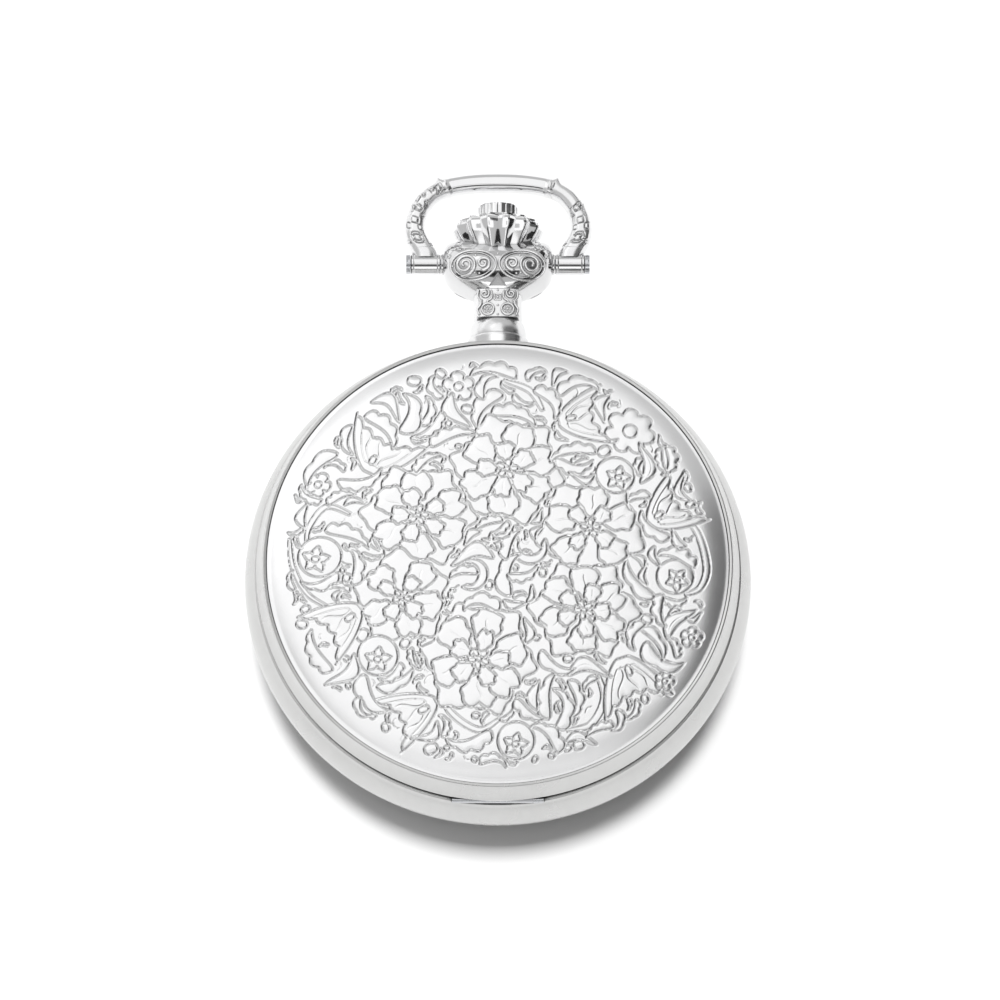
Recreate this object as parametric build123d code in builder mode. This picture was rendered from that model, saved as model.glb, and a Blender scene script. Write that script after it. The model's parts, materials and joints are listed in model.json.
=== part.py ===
"""Hunter pocket watch: a hinged front cover over a hand-wound movement with small seconds at six o'clock.

Millimetres. The watch lies on its back on Z = 0, with the dial facing +Z and twelve o'clock towards +Y.
Wheel teeth stop at the pitch line, so every wheel turns freely at any angle.
"""
from build123d import *
import os
from math import cos, pi, radians, sin, sqrt

os.makedirs("parts", exist_ok=True)

# Case
CASE_R = 23.5            # case middle at its widest
SEAM_R = 22.5            # radius where either cover meets the middle
RING_R = 21.65           # crisp ring between a cover's rim and its dome
BORE_R = 20.95           # bore of the case middle
MID_Z = 7.0              # height of the widest ring and of the stem
SEAM_LO = 4.0            # back cover to middle
SEAM_HI = 10.0           # middle to front cover
TOP_Z = 14.0             # highest point of the front cover
FLAT_R = 13.0            # flat rest face on the back

# Hinge at six o'clock
HINGE_Y = -22.15
KNUCKLE_R = 0.65
HINGE_HALF = 4.2
PIN_R = 0.3

# Pendant
PIVOT_Y = 31.27          # bow pivot
HEAD_X = 5.2             # half width of the pendant head
BOW_X = 8.75             # half width of the bow
CROWN_R = 4.28
BUTTON_R = 1.95
BUTTON_TOP = 37.2
STEM_R = 0.6

# Movement
PLATE_R = 18.3
PLATE_LO = 6.0
PLATE_HI = 8.2
BRIDGE_LO = 5.3
DIAL_LO = 8.85
DIAL_HI = 9.15
FIT = 0.03               # running clearance on a radius

BARREL = (-6.11, 5.13)
CROWN_WHEEL = (0.0, 9.75)
CENTRE = (0.0, 0.0)
THIRD = (3.5, -4.69)
FOURTH = (0.0, -8.4)
ESCAPE = (-4.6, -9.9)
PALLET = (-7.2, -7.9)
BALANCE = (-10.2, -6.3)
COCK_FOOT = (-14.9, 0.6)
MINUTE_WHEEL = (2.12, 2.12)
CLICK = (-12.4, 7.3)

BARREL_SCREWS = [(-15.4, 7.2), (-6.0, 15.6), (7.2, 14.4), (14.6, 6.0)]
TRAIN_SCREWS = [(13.4, -6.0), (7.0, -14.2), (-4.4, -15.8)]
STEM_AXIS = Axis((0, 0, MID_Z), (0, 1, 0))
HINGE_AXIS = Plane(origin=(0, HINGE_Y, SEAM_HI), x_dir=(0, 1, 0), z_dir=(1, 0, 0))


def save(part, name):
    part.label = name
    export_step(part, f"parts/{name}.step")


def on_cap(x, apex, edge_r, edge_z):
    """Height at x of the sphere that peaks at the apex and passes through the edge."""
    drop = apex - edge_z
    r = (edge_r ** 2 + drop ** 2) / (2 * drop)
    return apex - r + sqrt(r * r - x * x)


def turned(profile, centre=(0, 0)):
    """A solid of revolution about a vertical axis, from (radius, height) points."""
    with BuildPart() as body:
        with BuildSketch(Plane.XZ):
            with BuildLine():
                Polyline(*profile, close=True)
            make_face()
        revolve(axis=Axis.Z)
    return body.part.moved(Location((centre[0], centre[1], 0)))


def along_stem(profile):
    """A solid of revolution about the stem's axis, from (radius, y) points."""
    with BuildPart() as body:
        with BuildSketch(Plane.XY.offset(MID_Z)):
            with BuildLine():
                Polyline(*profile, close=True)
            make_face()
        revolve(axis=STEM_AXIS)
    return body.part


def post(centre, radius, low, high):
    """An upright cylinder."""
    with BuildPart() as body:
        with BuildSketch(Plane.XY.offset(low)):
            with Locations(centre):
                Circle(radius)
        extrude(amount=high - low)
    return body.part


def block(x0, x1, y0, y1, z0, z1):
    with BuildPart() as body:
        with Locations(((x0 + x1) / 2, (y0 + y1) / 2, (z0 + z1) / 2)):
            Box(x1 - x0, y1 - y0, z1 - z0)
    return body.part


def plate(points, low, high):
    """A flat plate cut to a straight-sided outline."""
    with BuildPart() as body:
        with BuildSketch(Plane.XY.offset(low)):
            with BuildLine():
                Polyline(*points, close=True)
            make_face()
        extrude(amount=high - low)
    return body.part


def teeth(centre, radius, count, depth, low, high, phase=0.0):
    """A toothed disc."""
    ring = []
    for i in range(2 * count):
        angle = radians(phase) + pi * i / count
        r = radius if i % 2 == 0 else radius - depth
        ring.append((centre[0] + r * cos(angle), centre[1] + r * sin(angle)))
    return plate(ring, low, high)


def link(start, end, r_start, r_end, low, high):
    """A tapered lever with round ends."""
    with BuildPart() as body:
        with BuildSketch(Plane.XY.offset(low)):
            with Locations(start):
                Circle(r_start)
            with Locations(end):
                Circle(r_end)
            make_hull()
        extrude(amount=high - low)
    return body.part


def wheel(centre, radius, count, depth, low, high, rim, hub, spokes):
    """A spoked wheel with teeth."""
    width = 0.32 if radius < 3 else 0.5
    with BuildPart() as body:
        add(teeth(centre, radius, count, depth, low, high))
        with BuildSketch(Plane.XY.offset(low)) as windows:
            with Locations(centre):
                Circle(radius - depth - rim)
                Circle(hub, mode=Mode.SUBTRACT)
            for i in range(spokes):
                angle = 360 * i / spokes
                reach = radius / 2
                spot = (centre[0] + reach * cos(radians(angle)), centre[1] + reach * sin(radians(angle)))
                with Locations(Location(spot, angle)):
                    Rectangle(radius, width, mode=Mode.SUBTRACT)
        extrude(amount=high - low, mode=Mode.SUBTRACT)
    return body.part


def spiral(centre, r_in, r_out, turns, strip, low, high):
    """A flat coiled strip."""
    steps = 14 * turns
    inner = []
    outer = []
    for i in range(steps + 1):
        angle = 2 * pi * turns * i / steps
        r = r_in + (r_out - r_in) * i / steps
        inner.append((centre[0] + r * cos(angle), centre[1] + r * sin(angle)))
        outer.append((centre[0] + (r + strip) * cos(angle), centre[1] + (r + strip) * sin(angle)))
    return plate(inner + outer[::-1], low, high)


def arc_strip(r_in, r_out, first, last, low, high):
    """A strip bent round the case, between two bearings in degrees."""
    steps = 10
    near = []
    far = []
    for i in range(steps + 1):
        angle = radians(first + (last - first) * i / steps)
        near.append((r_in * cos(angle), r_in * sin(angle)))
        far.append((r_out * cos(angle), r_out * sin(angle)))
    return plate(near + far[::-1], low, high)


def side_pin(side, near, far, radius):
    """A cylinder on the bow's pivot axis, on the left (-1) or right (1) of the pendant."""
    with BuildPart() as body:
        with BuildSketch(Plane(origin=(side * near, PIVOT_Y, MID_Z), x_dir=(0, 1, 0), z_dir=(side, 0, 0))):
            Circle(radius)
        extrude(amount=far - near)
    return body.part


def knuckles(spans, radius):
    """Hinge knuckles along X."""
    with BuildPart() as body:
        for left, right in spans:
            with BuildSketch(HINGE_AXIS.offset(left)):
                Circle(radius)
            extrude(amount=right - left)
    return body.part


# ---------------------------------------------------------------- case
CASE_SPANS = [(-4.2, -2.55), (-0.8, 0.8), (2.55, 4.2)]
LID_SPANS = [(-2.5, -0.85), (0.85, 2.5)]

with BuildPart() as middle_blank:
    with BuildSketch(Plane.XZ):
        with BuildLine():
            ThreePointArc((SEAM_R, SEAM_LO), (CASE_R, MID_Z), (SEAM_R, SEAM_HI))
            Polyline((SEAM_R, SEAM_HI), (BORE_R, SEAM_HI), (BORE_R, 5.6), (20.3, 5.6), (20.3, 5.0),
                     (BORE_R, 5.0), (BORE_R, 4.8), (21.4, 4.8), (21.4, SEAM_LO), (SEAM_R, SEAM_LO))
        make_face()
    revolve(axis=Axis.Z)

with BuildPart() as case_middle:
    add(middle_blank.part)
    add(knuckles([(-HINGE_HALF - 0.1, HINGE_HALF + 0.1)], 0.72), mode=Mode.SUBTRACT)
    add(along_stem([(0, 20), (1.8, 20), (1.8, 24), (0, 24)]), mode=Mode.SUBTRACT)
    add(block(-1.9, 1.9, 20.0, 21.5, 5.8, 10.2), mode=Mode.SUBTRACT)
    add(knuckles(CASE_SPANS, KNUCKLE_R))
    for left, right in CASE_SPANS:
        add(block(left, right, -22.4, -21.4, 9.1, 9.8))
    add(knuckles([(-5, 5)], PIN_R), mode=Mode.SUBTRACT)
save(case_middle.part, "case_middle")

with BuildPart() as hinge_pin:
    add(knuckles([(-HINGE_HALF, HINGE_HALF)], PIN_R - FIT))
save(hinge_pin.part, "hinge_pin")

with BuildPart() as back_cover:
    with BuildSketch(Plane.XZ):
        with BuildLine():
            Polyline((0, 0.7), (0, 0), (FLAT_R, 0))
            ThreePointArc((FLAT_R, 0), (17.6, 0.32), (RING_R, 1.3))
            ThreePointArc((RING_R, 1.3), (22.2, 2.6), (SEAM_R, SEAM_LO))
            Polyline((SEAM_R, SEAM_LO), (21.4, SEAM_LO), (21.4, 4.75), (21.0, 4.75), (21.0, 3.6), (21.4, 3.3),
                     (20.8, 1.9), (17.5, 1.05), (FLAT_R, 0.7), (0, 0.7))
        make_face()
    revolve(axis=Axis.Z)
save(back_cover.part, "back_cover")

with BuildPart() as dust_cover:
    add(turned([(0, 3.3), (18.9, 3.3), (BORE_R, 4.0), (BORE_R, 5.0), (20.35, 5.0), (20.35, 4.25), (18.8, 3.7),
                (0, 3.7)]))
save(dust_cover.part, "dust_cover")

with BuildPart() as bezel:
    add(turned([(18.3, 9.3), (BORE_R, 9.3), (BORE_R, 10.8), (20.2, 11.2), (19.3, 11.1), (19.0, 10.8),
                (19.0, 10.2), (18.3, 10.2)]))
    add(block(-1.9, 1.9, 19.5, 21.5, 9.0, 11.5), mode=Mode.SUBTRACT)
save(bezel.part, "bezel")

with BuildPart() as crystal:
    with BuildSketch(Plane.XZ):
        with BuildLine():
            Polyline((0, 11.6), (0, 12.35))
            ThreePointArc((0, 12.35), (10, on_cap(10, 12.35, 19.0, 10.75)), (19.0, 10.75))
            Polyline((19.0, 10.75), (19.0, 10.2), (18.3, 10.2))
            ThreePointArc((18.3, 10.2), (10, on_cap(10, 11.6, 18.3, 10.2)), (0, 11.6))
        make_face()
    revolve(axis=Axis.Z)
save(crystal.part, "crystal")

# ---------------------------------------------------------------- front cover
with BuildPart() as lid_rim:
    with BuildSketch(Plane.XZ):
        with BuildLine():
            ThreePointArc((SEAM_R, 10.03), (22.25, 11.4), (RING_R, 12.7))
            Polyline((RING_R, 12.7), (21.3, 12.74), (21.3, 12.1), (20.75, 12.1), (20.75, 11.8), (21.15, 11.6),
                     (21.75, 10.03), (SEAM_R, 10.03))
        make_face()
    revolve(axis=Axis.Z)
    add(knuckles([(-HINGE_HALF - 0.1, HINGE_HALF + 0.1)], 0.72), mode=Mode.SUBTRACT)
    add(knuckles(LID_SPANS, KNUCKLE_R))
    for left, right in LID_SPANS:
        add(block(left, right, -22.4, -21.6, 10.2, 11.0))
    add(block(-1.5, 1.5, 21.0, 21.6, 10.9, 11.3))
    add(knuckles([(-5, 5)], PIN_R), mode=Mode.SUBTRACT)
save(lid_rim.part, "lid_rim")

with BuildPart() as lid_dome:
    with BuildSketch(Plane.XZ):
        with BuildLine():
            Polyline((0, 13.35), (0, TOP_Z))
            ThreePointArc((0, TOP_Z), (11, on_cap(11, TOP_Z, 21.3, 12.74)), (21.3, 12.74))
            Polyline((21.3, 12.74), (21.3, 12.1))
            ThreePointArc((21.3, 12.1), (11, on_cap(11, 13.35, 21.3, 12.1)), (0, 13.35))
        make_face()
    revolve(axis=Axis.Z)
save(lid_dome.part, "lid_dome")

# ---------------------------------------------------------------- case springs
with BuildPart() as lock_spring:
    add(arc_strip(20.0, 20.65, 86.2, 154, 8.25, 9.2))
    add(post((-17.9, 8.9), 0.75, 8.25, 9.2))
    add(block(-1.4, 1.4, 20.2, 20.7, 8.25, 10.8))
    add(block(-1.4, 1.4, 20.2, 20.9, 10.35, 10.8))
    add(block(-1.4, 1.4, 20.75, 21.15, 6.0, 8.6))
    add(block(-1.4, 1.4, 20.3, 21.15, 8.25, 8.6))
    add(block(-1.1, 1.1, 20.7, 21.3, 5.9, 8.2), mode=Mode.SUBTRACT)
    add(post((-17.9, 8.9), 0.4, 8.0, 9.5), mode=Mode.SUBTRACT)
save(lock_spring.part, "lock_spring")

with BuildPart() as lift_spring:
    add(arc_strip(20.0, 20.65, -30, -92, 8.25, 9.2))
    add(post((17.25, -10.1), 0.75, 8.25, 9.2))
    add(post((17.25, -10.1), 0.4, 8.0, 9.5), mode=Mode.SUBTRACT)
save(lift_spring.part, "lift_spring")

with BuildPart() as spring_screws:
    for spot in [(-17.9, 8.9), (17.25, -10.1)]:
        add(post(spot, 0.37, 7.4, 9.22))
        add(post(spot, 0.6, 9.22, 9.29))
save(spring_screws.part, "spring_screws")

with BuildPart() as movement_holder:
    add(turned([(PLATE_R, 5.6), (BORE_R, 5.6), (BORE_R, 8.2), (19.25, 8.2), (19.25, DIAL_LO), (PLATE_R, DIAL_LO)]))
    add(block(-2.0, 2.0, 17.0, 22.0, 5.5, 9.0), mode=Mode.SUBTRACT)
    for spot in [(-17.9, 8.9), (17.25, -10.1)]:
        add(post(spot, 0.8, 8.2, 9.0), mode=Mode.SUBTRACT)
        add(post(spot, 0.37, 7.4, 9.0), mode=Mode.SUBTRACT)
    for angle in (30, 150, 270):
        spot = (19.3 * cos(radians(angle)), 19.3 * sin(radians(angle)))
        add(post(spot, 0.4, 5.5, 7.2), mode=Mode.SUBTRACT)
save(movement_holder.part, "movement_holder")

with BuildPart() as case_screws:
    for angle in (30, 150, 270):
        spot = (19.3 * cos(radians(angle)), 19.3 * sin(radians(angle)))
        add(post(spot, 0.4, 5.6, 7.2))
        add(post(spot, 0.8, 5.25, 5.6))
        add(block(spot[0] - 0.9, spot[0] + 0.9, spot[1] - 0.1, spot[1] + 0.1, 5.2, 5.4), mode=Mode.SUBTRACT)
save(case_screws.part, "case_screws")

# ---------------------------------------------------------------- pendant, crown and bow
with BuildPart() as pendant_neck:
    add(along_stem([(1.8, 21.6), (1.8, 22.0), (2.8, 22.0), (2.8, 23.65), (2.55, 24.6), (2.4, 25.6), (2.3, 26.8),
                    (2.3, 28.1), (2.15, 28.1), (2.15, 28.3), (1.5, 28.3), (1.5, 21.6)]))
    add(middle_blank.part, mode=Mode.SUBTRACT)
    add(along_stem([(1.5, 21.6), (1.8, 21.6), (1.8, 24.0), (1.5, 24.0)]))
save(pendant_neck.part, "pendant_neck")

HEAD_SECTIONS = [(28.1, 2.3, 2.3), (28.5, 3.3, 2.7), (29.2, 4.5, 3.1), (30.0, 5.05, 3.35), (31.0, HEAD_X, 3.3),
                 (32.0, HEAD_X, 2.8), (32.6, 5.05, 2.2), (33.0, 4.8, 1.7)]
with BuildPart() as pendant_head:
    for y, half_x, half_z in HEAD_SECTIONS:
        with BuildSketch(Plane(origin=(0, y, MID_Z), x_dir=(1, 0, 0), z_dir=(0, 1, 0))):
            Ellipse(half_x, half_z)
    loft(ruled=True)
    for side in (-1, 1):
        add(side_pin(side, 4.6, 5.33, 1.0))
        add(side_pin(side, 4.2, 6.0, 0.5), mode=Mode.SUBTRACT)
    add(along_stem([(0, 27), (2.15, 27), (2.15, 28.3), (1.1, 28.3), (1.1, 31.45), (2.6, 31.45), (2.8, 31.85),
                    (3.5, 32.8), (4.15, 33.7), (0, 33.7)]), mode=Mode.SUBTRACT)
save(pendant_head.part, "pendant_head")

with BuildPart() as bow_screws:
    for side in (-1, 1):
        add(side_pin(side, 4.2, 8.2, 0.5))
        add(side_pin(side, 8.2, 8.6, 0.92))
        slot = sorted((side * 8.45, side * 9))
        add(block(slot[0], slot[1], PIVOT_Y - 0.12, PIVOT_Y + 0.12, 5.8, 8.2), mode=Mode.SUBTRACT)
save(bow_screws.part, "bow_screws")

BOW_OUTER = [(0, 40.25), (2.4, 40.15), (4.6, 39.8), (6.0, 39.3), (7.2, 38.4), (8.1, 37.0), (8.65, 35.6),
             (BOW_X, 34.4), (8.5, 33.3), (7.9, 32.2), (7.7, 31.6)]
BOW_INNER = [(5.7, 31.6), (5.75, 32.4), (6.3, 33.3), (6.8, 34.2), (6.95, 35.0), (6.8, 36.0), (6.4, 36.8),
             (5.5, 37.6), (4.0, 38.2), (2.0, 38.45), (0, 38.5)]
with BuildPart() as bow:
    with BuildSketch(Plane.XY.offset(MID_Z - 1.2)):
        with BuildLine():
            Spline(*BOW_OUTER, tangents=[(1, 0), (-0.2, -1)])
            Line(BOW_OUTER[-1], BOW_INNER[0])
            Spline(*BOW_INNER, tangents=[(0, 1), (-1, 0)])
            Line(BOW_INNER[-1], BOW_OUTER[0])
        make_face()
        mirror(about=Plane.YZ)
    extrude(amount=2.4)
    for side in (-1, 1):
        add(side_pin(side, 5.38, 8.17, 1.0))
        add(side_pin(side, 5.2, 8.3, 0.5 + FIT), mode=Mode.SUBTRACT)
        add(side_pin(side, 8.17, 9.0, 1.02), mode=Mode.SUBTRACT)
save(bow.part, "bow")

with BuildPart() as crown:
    add(along_stem([(0.95, 31.6), (2.4, 31.6), (2.6, 31.9), (3.3, 32.8), (3.95, 33.7), (CROWN_R, 34.4),
                    (4.1, 34.9), (3.5, 35.25), (2.4, 35.6), (2.0, 35.65), (2.0, 33.3), (0.95, 33.3)]))
    for i in range(14):
        angle = radians(360 * i / 14)
        hub = (4.75 * cos(angle), 31.4, MID_Z + 4.75 * sin(angle))
        with BuildSketch(Plane(origin=hub, x_dir=(1, 0, 0), z_dir=(0, 1, 0))):
            Circle(0.62)
        extrude(amount=3.7, mode=Mode.SUBTRACT)
save(crown.part, "crown")

with BuildPart() as winding_stem:
    add(along_stem([(0, 10.2), (0.4, 10.2), (0.4, 10.65), (STEM_R, 10.65), (STEM_R, 22.8), (0.95, 23.2),
                    (0.95, 33.3), (0.6, 33.3), (0.6, 23.6), (0, 23.6)]))
    add(block(-1.2, 1.2, 24.0, 25.2, MID_Z - 0.22, MID_Z + 0.22), mode=Mode.SUBTRACT)
save(winding_stem.part, "winding_stem")

with BuildPart() as push_button:
    add(along_stem([(0, 24.6), (0.55, 24.6), (0.55, 34.6), (BUTTON_R, 34.6), (BUTTON_R, 36.8), (1.8, 37.0),
                    (1.3, 37.13), (0, BUTTON_TOP)]))
    with BuildSketch(Plane(origin=(-1, 24.95, MID_Z), x_dir=(0, 1, 0), z_dir=(1, 0, 0))):
        Circle(0.18)
    extrude(amount=2, mode=Mode.SUBTRACT)
save(push_button.part, "push_button")

with BuildPart() as push_collar:
    add(along_stem([(1.0, 21.4), (1.45, 21.4), (1.45, 25.3), (1.0, 25.3)]))
    with BuildSketch(Plane(origin=(-1.2, 24.95, MID_Z), x_dir=(0, 1, 0), z_dir=(1, 0, 0))):
        Circle(0.18)
    extrude(amount=2.4)
save(push_collar.part, "push_collar")

with BuildPart() as button_spring:
    with BuildLine() as coil:
        Helix(pitch=0.36, height=0.94, radius=1.45, center=(0, 33.45, MID_Z), direction=(0, 1, 0))
    with BuildSketch(Plane(origin=coil.line @ 0, z_dir=coil.line % 0)):
        Circle(0.1)
    sweep(path=coil.line, is_frenet=True)
save(button_spring.part, "button_spring")

# ---------------------------------------------------------------- plates
with BuildPart() as main_plate:
    add(post(CENTRE, PLATE_R, PLATE_LO, PLATE_HI))
    add(post(BARREL, 7.1, 5.9, 8.0), mode=Mode.SUBTRACT)
    add(post(BARREL, 0.53, 7.9, 8.3), mode=Mode.SUBTRACT)
    for spot, r in [(CENTRE, 5.5), (THIRD, 4.8), (FOURTH, 4.75), (ESCAPE, 2.9), (BALANCE, 5.4), (PALLET, 3.9)]:
        add(post(spot, r, 5.9, 7.2), mode=Mode.SUBTRACT)
    add(post(CENTRE, 1.35, 7.0, 8.05), mode=Mode.SUBTRACT)
    add(post(CENTRE, 0.34, 8.0, 8.3), mode=Mode.SUBTRACT)
    for spot in (THIRD, FOURTH, ESCAPE, PALLET, BALANCE):
        add(post(spot, 0.28, 7.1, 8.3), mode=Mode.SUBTRACT)
    add(block(-1.95, 1.95, 11.85, 13.55, 5.9, 8.3), mode=Mode.SUBTRACT)
    add(block(-1.5, 1.5, 10.5, 12.0, 5.9, 8.3), mode=Mode.SUBTRACT)
    add(along_stem([(0, 9.5), (0.64, 9.5), (0.64, 18.5), (0, 18.5)]), mode=Mode.SUBTRACT)
    for spot in BARREL_SCREWS + TRAIN_SCREWS + [COCK_FOOT]:
        add(post(spot, 0.4, 5.9, 7.0), mode=Mode.SUBTRACT)
    for x in (-16.6, 16.6):
        add(post((x, 0), 0.4, 7.2, 8.3), mode=Mode.SUBTRACT)
save(main_plate.part, "main_plate")

with BuildPart() as barrel_bridge:
    add(post(CENTRE, 17.8, BRIDGE_LO, PLATE_LO))
    add(block(-20, 20, -20, -1.2, 5, 7), mode=Mode.SUBTRACT)
    add(post(BALANCE, 5.5, 5, 7), mode=Mode.SUBTRACT)
    add(post(COCK_FOOT, 2.35, 5, 7), mode=Mode.SUBTRACT)
    add(block(-20, -14.9, -2.0, 0.6, 5, 7), mode=Mode.SUBTRACT)
    add(post(CENTRE, 0.7, 5, 7), mode=Mode.SUBTRACT)
    add(post(BARREL, 0.84, 5, 7), mode=Mode.SUBTRACT)
    add(block(-1.95, 1.95, 11.85, 13.55, 5, 7), mode=Mode.SUBTRACT)
    add(block(-1.5, 1.5, 10.55, 12.0, 5, 7), mode=Mode.SUBTRACT)
    add(post(CROWN_WHEEL, 0.75, 4.7, BRIDGE_LO))
    add(post(CLICK, 0.33, 4.7, BRIDGE_LO))
    for spot in BARREL_SCREWS:
        add(post(spot, 0.4, 5, 7), mode=Mode.SUBTRACT)
save(barrel_bridge.part, "barrel_bridge")

with BuildPart() as train_bridge:
    add(post(CENTRE, 17.8, BRIDGE_LO, PLATE_LO))
    add(block(-20, 20, -1.5, 20, 5, 7), mode=Mode.SUBTRACT)
    add(block(-20, -6.3, -20, 20, 5, 7), mode=Mode.SUBTRACT)
    add(post(BALANCE, 5.5, 5, 7), mode=Mode.SUBTRACT)
    add(block(-7, -2.2, -6.0, 0, 5, 7), mode=Mode.SUBTRACT)
    for spot in (THIRD, FOURTH, ESCAPE):
        add(post(spot, 0.7, 5, 7), mode=Mode.SUBTRACT)
    for spot in TRAIN_SCREWS:
        add(post(spot, 0.4, 5, 7), mode=Mode.SUBTRACT)
save(train_bridge.part, "train_bridge")

with BuildPart() as balance_cock:
    add(link(COCK_FOOT, BALANCE, 2.2, 1.3, 3.9, 4.7))
    add(post(COCK_FOOT, 2.2, 4.7, PLATE_LO))
    add(post(BALANCE, 0.7, 3, 5), mode=Mode.SUBTRACT)
    add(post(COCK_FOOT, 0.4, 3, 7), mode=Mode.SUBTRACT)
    add(post(COCK_FOOT, 0.9, 3, 4.25), mode=Mode.SUBTRACT)
save(balance_cock.part, "balance_cock")

PALLET_ENDS = [(-5.47, -5.21), (-8.93, -10.59)]
with BuildPart() as pallet_cock:
    add(link(PALLET_ENDS[0], PALLET_ENDS[1], 0.6, 0.6, 5.8, 6.2))
    for spot in PALLET_ENDS:
        add(post(spot, 0.5, 6.2, 7.2))
    add(post(PALLET, 0.28, 5.7, 6.3), mode=Mode.SUBTRACT)
save(pallet_cock.part, "pallet_cock")

with BuildPart() as bridge_screws:
    for spot in BARREL_SCREWS + TRAIN_SCREWS:
        add(post(spot, 0.4, BRIDGE_LO, 7.0))
        add(post(spot, 0.85, 4.95, BRIDGE_LO))
        add(block(spot[0] - 0.9, spot[0] + 0.9, spot[1] - 0.09, spot[1] + 0.09, 4.9, 5.1), mode=Mode.SUBTRACT)
    add(post(COCK_FOOT, 0.4, 4.25, 7.0))
    add(post(COCK_FOOT, 0.85, 3.95, 4.25))
save(bridge_screws.part, "bridge_screws")

with BuildPart() as jewels:
    for spot in (CENTRE, THIRD, FOURTH, ESCAPE):
        add(turned([(0.28, BRIDGE_LO), (0.7, BRIDGE_LO), (0.7, PLATE_LO), (0.28, PLATE_LO)], spot))
    add(turned([(0.2, 3.9), (0.7, 3.9), (0.7, 4.7), (0.2, 4.7)], BALANCE))
save(jewels.part, "jewels")

# ---------------------------------------------------------------- winding work
with BuildPart() as winding_pinion:
    with BuildSketch(Plane(origin=(0, 12.0, MID_Z), x_dir=(1, 0, 0), z_dir=(0, 1, 0))):
        with BuildLine():
            ring = [((1.73 if i % 2 else 1.4) * cos(pi * i / 12), (1.73 if i % 2 else 1.4) * sin(pi * i / 12))
                    for i in range(24)]
            Polyline(*ring, close=True)
        make_face()
        Circle(STEM_R + FIT, mode=Mode.SUBTRACT)
    extrude(amount=1.4)
save(winding_pinion.part, "winding_pinion")

with BuildPart() as clutch:
    add(along_stem([(STEM_R + FIT, 10.7), (1.35, 10.7), (1.35, 11.05), (1.05, 11.05), (1.05, 11.4), (1.35, 11.4),
                    (1.35, 11.95), (STEM_R + FIT, 11.95)]))
save(clutch.part, "clutch")

with BuildPart() as setting_lever:
    add(link((4.4, 15.7), (0.9, 14.9), 0.8, 0.45, 8.25, 8.6))
save(setting_lever.part, "setting_lever")

with BuildPart() as yoke:
    add(link((6.4, 12.4), (1.7, 11.2), 0.8, 0.25, 8.25, 8.55))
save(yoke.part, "yoke")

with BuildPart() as crown_wheel:
    add(teeth(CROWN_WHEEL, 3.04, 24, 0.25, 4.8, 5.2))
    add(post(CROWN_WHEEL, 0.78, 4, 6), mode=Mode.SUBTRACT)
save(crown_wheel.part, "crown_wheel")

with BuildPart() as crown_wheel_screw:
    add(post(CROWN_WHEEL, 1.2, 4.4, 4.7))
    add(block(-1.3, 1.3, CROWN_WHEEL[1] - 0.12, CROWN_WHEEL[1] + 0.12, 4.3, 4.55), mode=Mode.SUBTRACT)
save(crown_wheel_screw.part, "crown_wheel_screw")

with BuildPart() as ratchet_wheel:
    add(teeth(BARREL, 4.58, 36, 0.25, 4.8, 5.2))
    add(post(BARREL, 0.8, 4, 6), mode=Mode.SUBTRACT)
save(ratchet_wheel.part, "ratchet_wheel")

with BuildPart() as ratchet_screw:
    add(post(BARREL, 1.2, 4.4, 4.8))
    add(block(BARREL[0] - 1.3, BARREL[0] + 1.3, BARREL[1] - 0.12, BARREL[1] + 0.12, 4.3, 4.6), mode=Mode.SUBTRACT)
save(ratchet_screw.part, "ratchet_screw")

with BuildPart() as click:
    add(link(CLICK, (-11.2, 5.8), 0.75, 0.3, 4.85, 5.2))
    add(post(CLICK, 0.36, 4, 6), mode=Mode.SUBTRACT)
save(click.part, "click")

with BuildPart() as click_spring:
    add(plate([(-14.2, 9.6), (-13.6, 9.6), (-13.7, 8.0), (-12.9, 5.2), (-13.05, 5.15), (-13.95, 7.9)], 4.95, 5.3))
save(click_spring.part, "click_spring")

# ---------------------------------------------------------------- power and going train
with BuildPart() as barrel_drum:
    add(turned([(0.84, 6.35), (6.4, 6.35), (6.4, 7.95), (0.54, 7.95), (0.54, 7.75), (6.1, 7.75), (6.1, 6.55),
                (0.84, 6.55)], BARREL))
    add(teeth(BARREL, 6.82, 72, 0.25, 7.6, 7.95))
    add(post(BARREL, 0.54, 7, 8), mode=Mode.SUBTRACT)
    add(post(BARREL, 6.1, 6.55, 7.75), mode=Mode.SUBTRACT)
save(barrel_drum.part, "barrel_drum")

with BuildPart() as barrel_arbor:
    add(turned([(0, 4.8), (0.8, 4.8), (0.8, 6.6), (1.2, 6.6), (1.2, 7.7), (0.5, 7.7), (0.5, 8.15), (0, 8.15)],
               BARREL))
save(barrel_arbor.part, "barrel_arbor")

with BuildPart() as mainspring:
    add(spiral(BARREL, 1.35, 5.85, 7, 0.2, 6.65, 7.65))
save(mainspring.part, "mainspring")

with BuildPart() as centre_wheel:
    add(wheel(CENTRE, 5.18, 80, 0.2, 6.1, 6.3, 0.45, 1.0, 5))
    add(teeth(CENTRE, 1.12, 12, 0.25, 7.5, 8.0))
    add(post(CENTRE, 0.5, 6.3, 7.5))
    add(post(CENTRE, 0.25, 5.35, 6.1))
    add(post(CENTRE, 0.3, 8.0, 10.1))
save(centre_wheel.part, "centre_wheel")

with BuildPart() as third_wheel:
    add(wheel(THIRD, 4.48, 75, 0.2, 6.6, 6.75, 0.4, 0.8, 5))
    add(teeth(THIRD, 0.63, 10, 0.18, 6.05, 6.35))
    add(post(THIRD, 0.35, 6.35, 6.6))
    add(post(THIRD, 0.25, 5.4, 8.0))
save(third_wheel.part, "third_wheel")

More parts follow.
